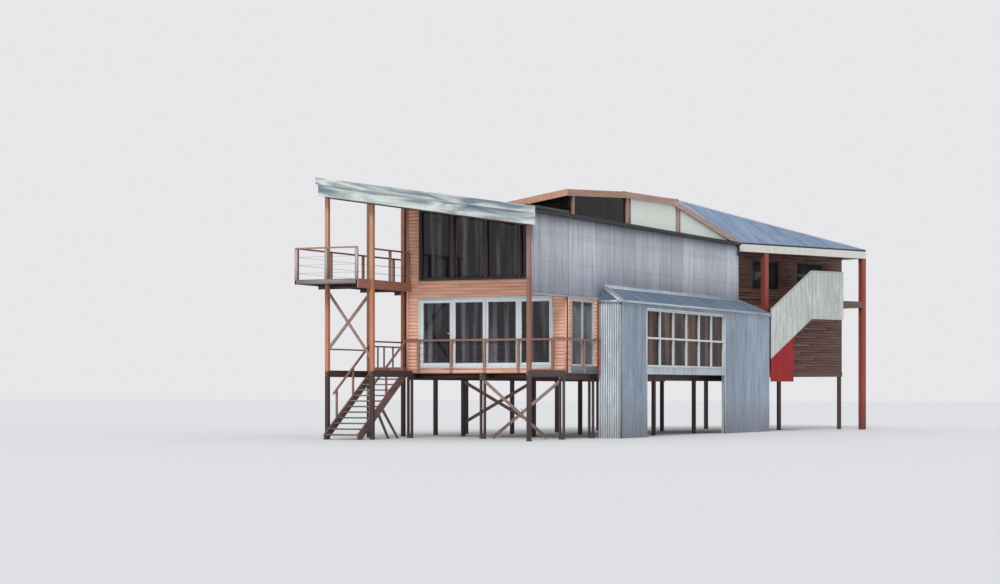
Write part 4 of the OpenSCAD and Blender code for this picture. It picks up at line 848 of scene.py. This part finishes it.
# Upper deck and landing: planks on joists stand for the plain slabs.
PLANK, GAP, PLANK_T = 0.14, 0.006, 0.028
(deck_x0, deck_y0, deck_z0), (deck_x1, deck_y1, deck_z1) = DECK_LOW, DECK_HIGH
under = deck_z1 - PLANK_T
decking = piece("deck_planks", blocks([
    ((deck_x0, y, under), (deck_x1 if y < FRONT - PLANK else LEFT, min(y + PLANK, deck_y1), deck_z1))
    for y in np.arange(deck_y0, deck_y1 - 0.02, PLANK + GAP)]), "grey decking")
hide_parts("upper_deck")
piece("deck_joists", blocks([((x, deck_y0 + JOIST, deck_z0), (x + JOIST, deck_y1 - JOIST, under))
                             for x in (*np.arange(deck_x0 + 0.05, LEFT - 0.05, 0.4), LEFT - 0.06)]),
      "dark joists")
piece("deck_rim_boards", blocks([((*a, deck_z0), (*b, under)) for a, b in (
    ((deck_x0, deck_y0), (deck_x1, deck_y0 + JOIST)), ((deck_x0, deck_y1 - JOIST), (LEFT, deck_y1)),
    ((deck_x0, deck_y0), (deck_x0 + JOIST, deck_y1)), ((deck_x1 - JOIST, deck_y0), (deck_x1, FRONT)))]),
      "grey decking")
bearer_y = (PORCH_Y + POST, *(POST + k * GALLERY_BAY for k in range(3)), 3 * GALLERY_BAY - POST - JOIST)
piece("deck_bearers", blocks([((deck_x0 + 0.3, y, deck_z0 - 0.12), (LEFT, y + JOIST, deck_z0)) for y in bearer_y]),
      "dark joists")
piece("landing_planks", blocks([
    ((GALLERY_X + POST, y, FLOOR), (LEFT - 0.02, min(y + PLANK, GALLERY_BAY + POST), FLOOR + 0.012))
    for y in np.arange(FRONT, 2.3, PLANK + GAP)]), "grey decking")
STEPS, GOING = 13, 0.25
tread_boards = []
for i in range(1, STEPS):
    top = FLOOR - i * FLOOR / STEPS
    for y in [FRONT - (i - 1) * GOING - 0.01 - 0.24 + k * 0.122 for k in range(2)]:
        tread_boards.append(((-1.24, y, top - JOIST), (-0.14, y + 0.118, top)))
treads = piece("tread_boards", blocks(tread_boards), "worn treads")
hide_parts("stair_treads")
piece("floor_joists", blocks([((x, y, BEAM_TOP - 0.15), (x + w, y + JOIST, BEAM_TOP))
                              for y in np.arange(0.35, BACK - 0.2, 0.6) for x, w in ((0.04, 2.42), (2.54, 2.545))]),
      "dark joists")

# Railings: wires between the posts, their fixings, caps on the lower rail and bleached faces on the deck's posts.
INSET = 0.035
rail_top, deck_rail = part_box("lower_railing")[1].z, deck_z1 + 0.91
wires = []
for z in [rail_top - 0.045 - drop for drop in (0.2, 0.4, 0.6)]:
    wires += [((DOOR_LOW.x, FRONT - INSET, z), (RIGHT + INSET, FRONT - INSET, z)),
              ((RIGHT + INSET, FRONT - INSET, z), (RIGHT + INSET, BAY_LOW.y - 0.02, z))]
for z in [deck_rail - drop for drop in (0.24, 0.48, 0.72)]:
    wires += [((deck_x0 + INSET, deck_y0 + INSET, z), (deck_x1 - INSET, deck_y0 + INSET, z)),
              ((deck_x0 + INSET, deck_y0 + INSET, z), (deck_x0 + INSET, deck_y1 - INSET, z)),
              ((deck_x1 - INSET, -2.5, z), (deck_x1 - INSET, FRONT, z))]
starts, ends = np.moveaxis(np.array(wires), 1, 0)
piece("railing_wires", rods(starts, ends, 0.004, 6), "brown wires")
fixings, aim = np.concatenate([starts, ends]), np.concatenate([ends - starts, starts - ends])
aim /= np.linalg.norm(aim, axis=1, keepdims=True)
piece("wire_fixings", rods(fixings - aim * 0.02, fixings + aim * 0.09, 0.009, 6), "brown wires")
piece("lower_rail_cap", blocks([
    ((LEFT, FRONT - 0.085, rail_top - 0.012), (RIGHT + 0.085, FRONT, rail_top + 0.012)),
    ((RIGHT, FRONT, rail_top - 0.012), (RIGHT + 0.085, BAY_LOW.y, rail_top + 0.012))]),
      "pink-brown rail boards")
piece("pale_deck_posts", blocks([((x - 0.004, deck_y0 - 0.004, deck_z1), (x + 0.074, deck_y0 + 0.074, deck_rail))
                                 for x in (deck_x0, (deck_x0 + deck_x1) / 2 - INSET, deck_x1 - 0.07)]),
      "bleached posts")

# Bolts where timbers meet: their places, and the ways that they point.
bolts = [((x - 0.03, PORCH_Y - POST, z), -Y) for x in (GALLERY_X, 0.095, 5.25) for z in (1.93, 2.02)]
bolts += [((GALLERY_X - POST, y + d, z), -X) for y in (PORCH_Y, *(k * GALLERY_BAY for k in range(4)))
          for d in (-0.03, 0.03) for z in (4.68, 4.56)]
bolts += [((x + d, -0.05, z), -Y) for x in (0.0, 2.5, 5.125) for d in (-0.0625, 0.0625) for z in (1.84, 1.93)]
bolts += [((3.82, -0.05, 0.9), -Y), ((-0.73, PORCH_Y - 0.045, 3.51), -Y)]
place, out = [np.array(part, float) for part in zip(*bolts)]
piece("bolts", [rods(place - out * 0.004, place + out * 0.005, 0.022, 12),
                rods(place, place + out * 0.016, 0.012, 6)], "fitting steel")

# Glazing beads and seals on the leaves, flashings round the doors, sashes in the upper window.
BEAD, BEAD_T, FRAME, STILE = 0.014, 0.012, 0.04, 0.08


def beaded(panes, low, high):
    """Beads round panes, in front of the glass and behind it."""
    return [rims(panes, low.y - BEAD_T, BEAD_T, BEAD, "xz"), rims(panes, high.y, BEAD_T, BEAD, "xz")]


for body, node in {"left_leaf": "left_door_glass", "right_leaf": "right_door_glass"}.items():
    low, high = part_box(node)
    piece(body + "_beads", beaded([(low.x, high.x, low.z, high.z)], low, high), "white frames", body)
    inner = [(low.x + BEAD, high.x - BEAD, low.z + BEAD, high.z - BEAD)]
    piece(body + "_seal", rims(inner, low.y - 0.004, 0.004, 0.006, "xz"), "black seals", body)
low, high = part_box("middle_door_glass")
door_x0, door_x1, door_z0, door_z1 = DOOR_LOW.x, DOOR_HIGH.x, DOOR_LOW.z, DOOR_HIGH.z
leaf_w = (door_x1 - door_x0 - 2 * FRAME) / 4
panes = [(x + STILE, x + leaf_w - STILE, low.z, high.z) for x in (door_x0 + FRAME + leaf_w * k for k in (1, 2))]
piece("middle_beads", beaded(panes, low, high), "white frames")
LINING_Y = -0.055
piece("door_flashings", blocks([
    ((door_x0 - 0.03, FRONT - 0.045, door_z1), (door_x1 + 0.03, FRONT + 0.005, door_z1 + 0.02)),
    ((door_x0 - 0.03, FRONT - 0.03, door_z0 - 0.03), (door_x1 + 0.03, -0.04, door_z0)),
    ((door_x0 - 0.005, FRONT - 0.022, door_z0), (door_x0 + 0.02, LINING_Y, door_z1)),
    ((door_x1 - 0.02, FRONT - 0.022, door_z0), (door_x1 + 0.005, LINING_Y, door_z1)),
    ((door_x0, FRONT - 0.022, door_z1 - 0.02), (door_x1, LINING_Y, door_z1))]), "white frames")
seal_x = door_x0 + FRAME + 2 * leaf_w
piece("door_seals", blocks([((seal_x - 0.004, -0.047, door_z0 + FRAME), (seal_x + 0.004, -0.044, door_z1 - FRAME))]),
      "black seals")
SASH_Y, SASH_TALL, SASH_WIDE = -0.052, 0.045, 0.04
bar_x = [door_x0 + k * (door_x1 - door_x0) / 4 for k in range(5)]
sash, deep = [], (0, 0.03, 0)
for k in range(4):
    a, b = bar_x[k] + 0.046 + 0.015 * (k == 0), bar_x[k + 1] - 0.046 - 0.015 * (k == 3)
    foot, tops = WINDOW_LOW.z + 0.061, [under_roof(x) - 0.062 for x in (a, b)]
    inner = b - SASH_WIDE
    sash.append(bars([((a, SASH_Y, foot), (b, SASH_Y, foot), deep, (0, 0, SASH_TALL)),
                      ((a, SASH_Y, tops[0] - SASH_TALL), (b, SASH_Y, tops[1] - SASH_TALL), deep, (0, 0, SASH_TALL)),
                      ((a, SASH_Y, foot), (a, SASH_Y, tops[0]), deep, (SASH_WIDE, 0, 0)),
                      ((inner, SASH_Y, foot), (inner, SASH_Y, tops[1]), deep, (SASH_WIDE, 0, 0))]))
piece("upper_sashes", sash, "dark window bars")

# Panes of the side window, of the left wall and of the wing, held in their bars.
BAR = 0.06


def panes_in(rectangle, columns, x0, x1):
    """Panes from x0 to x1, in the openings left between the bars of a window of some columns."""
    a0, a1, z0, z1 = rectangle
    wide = (a1 - a0 - BAR) / columns
    return [((x0, a0 + BAR + k * wide, z0 + BAR), (x1, a0 + (k + 1) * wide, z1 - BAR)) for k in range(columns)]


left_panes = [pane for hole in LEFT_HOLES
              for pane in panes_in(hole, 1 if hole is LEFT_DOOR else 2, LEFT + 0.07, LEFT + 0.078)]
wing_panes = [pane for hole in WING_WINDOWS for pane in panes_in(hole, 1, -VERANDAH - 0.058, -VERANDAH - 0.05)]
piece("side_panes", blocks(panes_in(SIDE_HOLE, 2, RIGHT - 0.058, RIGHT - 0.05)), "dim panes")
piece("left_panes", blocks(left_panes), "dim panes")
piece("wing_panes", turned(blocks(wing_panes)), "dim panes")
piece("wing_eave_strip", turned(blocks([((0.0, 0.02, WING_EAVE - 0.055),
                                         (0.003, WING_LONG - 0.03, WING_EAVE - 0.002))])),
      "dark gutter")
RAIL_LOW, RAIL_HIGH = 5.06, 5.13
piece("wing_wall_rail", turned(blocks([
    ((-VERANDAH, a, RAIL_LOW), (-VERANDAH + JOIST, b, RAIL_HIGH))
    for a, b in ((0.45, WING_WINDOWS[0][0] - 0.01), (WING_WINDOWS[1][1] + 0.01, WING_LONG - 0.3))])),
      "roof timber")

# Dark strips: over the porch roof's right edge a strip of painted shadow under the gutter, and a flashing on the
# clerestory's sill. Gutter brackets and outlet.
PANEL_END = BACK - 0.825
piece("sill_flashing_and_shadow_strip", blocks([
    # Painted shadow: this dark strip over the porch roof's right end stands for the gutter's shade.
    ((RIGHT - 0.01, ROOF_Y0 + 0.01, GREY_TOP + 0.002), (RIGHT + 0.03, 0.07, GREY_TOP + 0.14)),
    ((RIGHT - 0.002, 0.08, GREY_TOP + 0.002), (RIGHT + 0.004, PANEL_END, GREY_TOP + 0.066))]),
      "dark gutter")
gut_low, gut_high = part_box("gutter")
middle_x, strap_r = (gut_low.x + gut_high.x) / 2, (gut_high.x - gut_low.x) / 2 + 0.003
angles = np.linspace(math.pi, 2 * math.pi, 9)
straps = []
for y in np.arange(GREY_Y0 + 0.3, BACK, 0.9):
    ring = np.stack([middle_x + strap_r * np.cos(angles), np.full(9, y), GREY_TOP + strap_r * np.sin(angles)], 1)
    straps.append(bars([(p, q, (0, 0.025, 0), unit(np.cross(q - p, Y)) * 0.003) for p, q in zip(ring, ring[1:])]))
piece("gutter_brackets", straps, "dark gutter")
drop_y = BACK - 0.12
piece("gutter_outlet", [
    rods([(middle_x, drop_y, GREY_TOP - 0.22)], [(middle_x, drop_y, GREY_TOP - 0.05)], 0.04, 16),
    rods([(middle_x, drop_y, GREY_TOP - 0.2)], [(RIGHT + 0.03, BACK - 0.1, GREY_TOP - 0.42)], 0.04, 16)],
      "dark gutter")

# Clerestory: brown cheeks beside the posts, beads at the panes' and panels' ends, rafters and posts inside.
post_y = (0.425, 4.625, 9.025)
pane_x, pane_foot = 5.262, GREY_TOP + 0.06
pane_spans = [(0.08, post_y[0] - POST),
              *[(a + POST, b - POST) for a, b in zip(post_y, (*post_y[1:], PANEL_END + POST))]]


def pane_top(y):
    return float(raised_line(pane_x - 0.012, y)) - RAISED_DEEP - 0.001


def pane_bar(y, top, deep, wide):
    """An upright bar's row on the clerestory, from the panes' foot to a top."""
    return (pane_x, y, pane_foot), (pane_x, y, top), (deep, 0, 0), (0, wide, 0)


piece("clerestory_cheeks", [bars([pane_bar(a, min(pane_top(a), pane_top(a + wide)), 0.026, wide)])
                            for (a, b), wide in zip(pane_spans[2:], (0.28, 0.2))], "brown cheeks")
piece("clerestory_beads", [bars([pane_bar(a, pane_top(a), 0.02, 0.025), pane_bar(b - 0.025, pane_top(b), 0.02, 0.025)])
                           for a, b in pane_spans], "roof timber")


def hung(x, y, drop):
    """A point a drop below the raised roof's underside."""
    return x, y, raised_line(x, y) - RAISED_DEEP - drop


RAFTER_END, PURLIN_X, INNER_POSTS = 5.15, 4.55, (2.2, 2.5)
rafters = [(hung(valley(y)[0] + 0.4, y, 0.14), hung(RAFTER_END, y, 0.14), (0, 0.07, 0), (0, 0, 0.13))
           for y in (1.35, 3.1, 4.25)]
rafters.append((hung(PURLIN_X, 0.2, 0.16), hung(PURLIN_X, 4.39, 0.16), (0.09, 0, 0), (0, 0, 0.15)))
piece("clerestory_rafters", [bars(rafters), blocks([((4.54, y, 6.9), (4.65, y + 0.1, 7.36)) for y in INNER_POSTS])],
      "inner rafters")

# Rear stair: cladding beside the flight and along the landing, nosings, and the verandah's planks.
clad_x, clad_y0, clad_y1, clad_y2, clad_low, clad_flat, clad_h = 0.34, 1.38, 3.6, 5.4, 2.62, 4.08, 1.75
clad = []
for (ya, za), (yb, zb) in (((clad_y0, clad_low), (clad_y1, clad_flat)),
                           ((clad_y1 + 0.001, clad_flat), (clad_y2, clad_flat))):
    ends = (ya, za + clad_h), (yb, zb + clad_h)
    clad += [sheet((clad_x, 0, 0), Y, Z, [(ya, za), (yb, zb), *ends[::-1]]),
             bars([(*[(clad_x - 0.05, *end) for end in ends], (0.08, 0, 0), (0, 0, 0.02))])]
piece("stair_cladding", [turned(shape) for shape in clad], "pale stair cladding", smooth=40)
REAR_STEPS, step_y0 = 14, 1.63
step_y = (clad_y1 - step_y0) / REAR_STEPS
nosings = []
for i in range(REAR_STEPS):
    y, z = step_y0 + i * step_y, FLOOR + (i + 1) * (UPPER - FLOOR) / (REAR_STEPS + 1)
    nosings.append(((-VERANDAH + 0.002, y - 0.02, z - 0.002), (0.298, y + step_y, z + 0.02)))
piece("rear_stair_treads", turned(blocks(nosings)), "red boards")
piece("verandah_planks", turned(blocks([((-VERANDAH, y, UPPER), (-0.005, y + 0.135, UPPER + 0.012))
                                        for y in np.arange(clad_y2 + 0.01, WING_LONG - 0.35, 0.14)])),
      "grey decking")

# Camera, lamp, world and floor.
camera = bpy.data.cameras.new("camera")
camera.lens, camera.sensor_width, camera.shift_y = 82.8, 36.0, 0.099
camera.clip_end = 600.0
eye = linked("camera", camera)
eye.location = (33.325, -62.575, 1.45)
eye.rotation_euler = (math.radians(90), 0, math.radians(25.8))
bpy.context.scene.camera = eye

sun = bpy.data.lights.new("key", "SUN")
sun.energy, sun.angle = 1.6, math.radians(20)
linked("key", sun).rotation_euler = Vector((-0.2, 0.74, -0.64)).to_track_quat("-Z", "Y").to_euler()

world = bpy.data.worlds.new("world")
bpy.context.scene.world = world
world.use_nodes = True
sky = world.node_tree
sky.nodes.clear()
path = put(sky, "LightPath").outputs
seen = maths(sky, "MAXIMUM", path["Is Camera Ray"],
             maths(sky, "MAXIMUM", path["Is Glossy Ray"], path["Is Transmission Ray"]))
light = put(sky, "Background", {"Color": (0.93, 0.96, 1.0, 1), "Strength": 0.62})
backdrop = put(sky, "Background", {"Color": (0.80, 0.80, 0.82, 1), "Strength": 1.0})
mixed = put(sky, "MixShader", {0: seen, 1: light.outputs[0], 2: backdrop.outputs[0]})
put(sky, "OutputWorld", {0: mixed.outputs[0]})

REACH = 250
floor_mesh = bpy.data.meshes.new("floor")
floor_mesh.from_pydata([(-REACH, -REACH, 0), (REACH, -REACH, 0), (REACH, REACH, 0), (-REACH, REACH, 0)], [],
                       [(0, 1, 2, 3)])
floor_shader = base("floor")[1]
floor_shader.inputs["Base Color"].default_value = (0.80, 0.80, 0.81, 1)
floor_shader.inputs["Roughness"].default_value = 0.9
floor_mesh.materials.append(FINISHES["floor"])
floor = linked("floor", floor_mesh)

bpy.context.scene.view_settings.view_transform = "Standard"
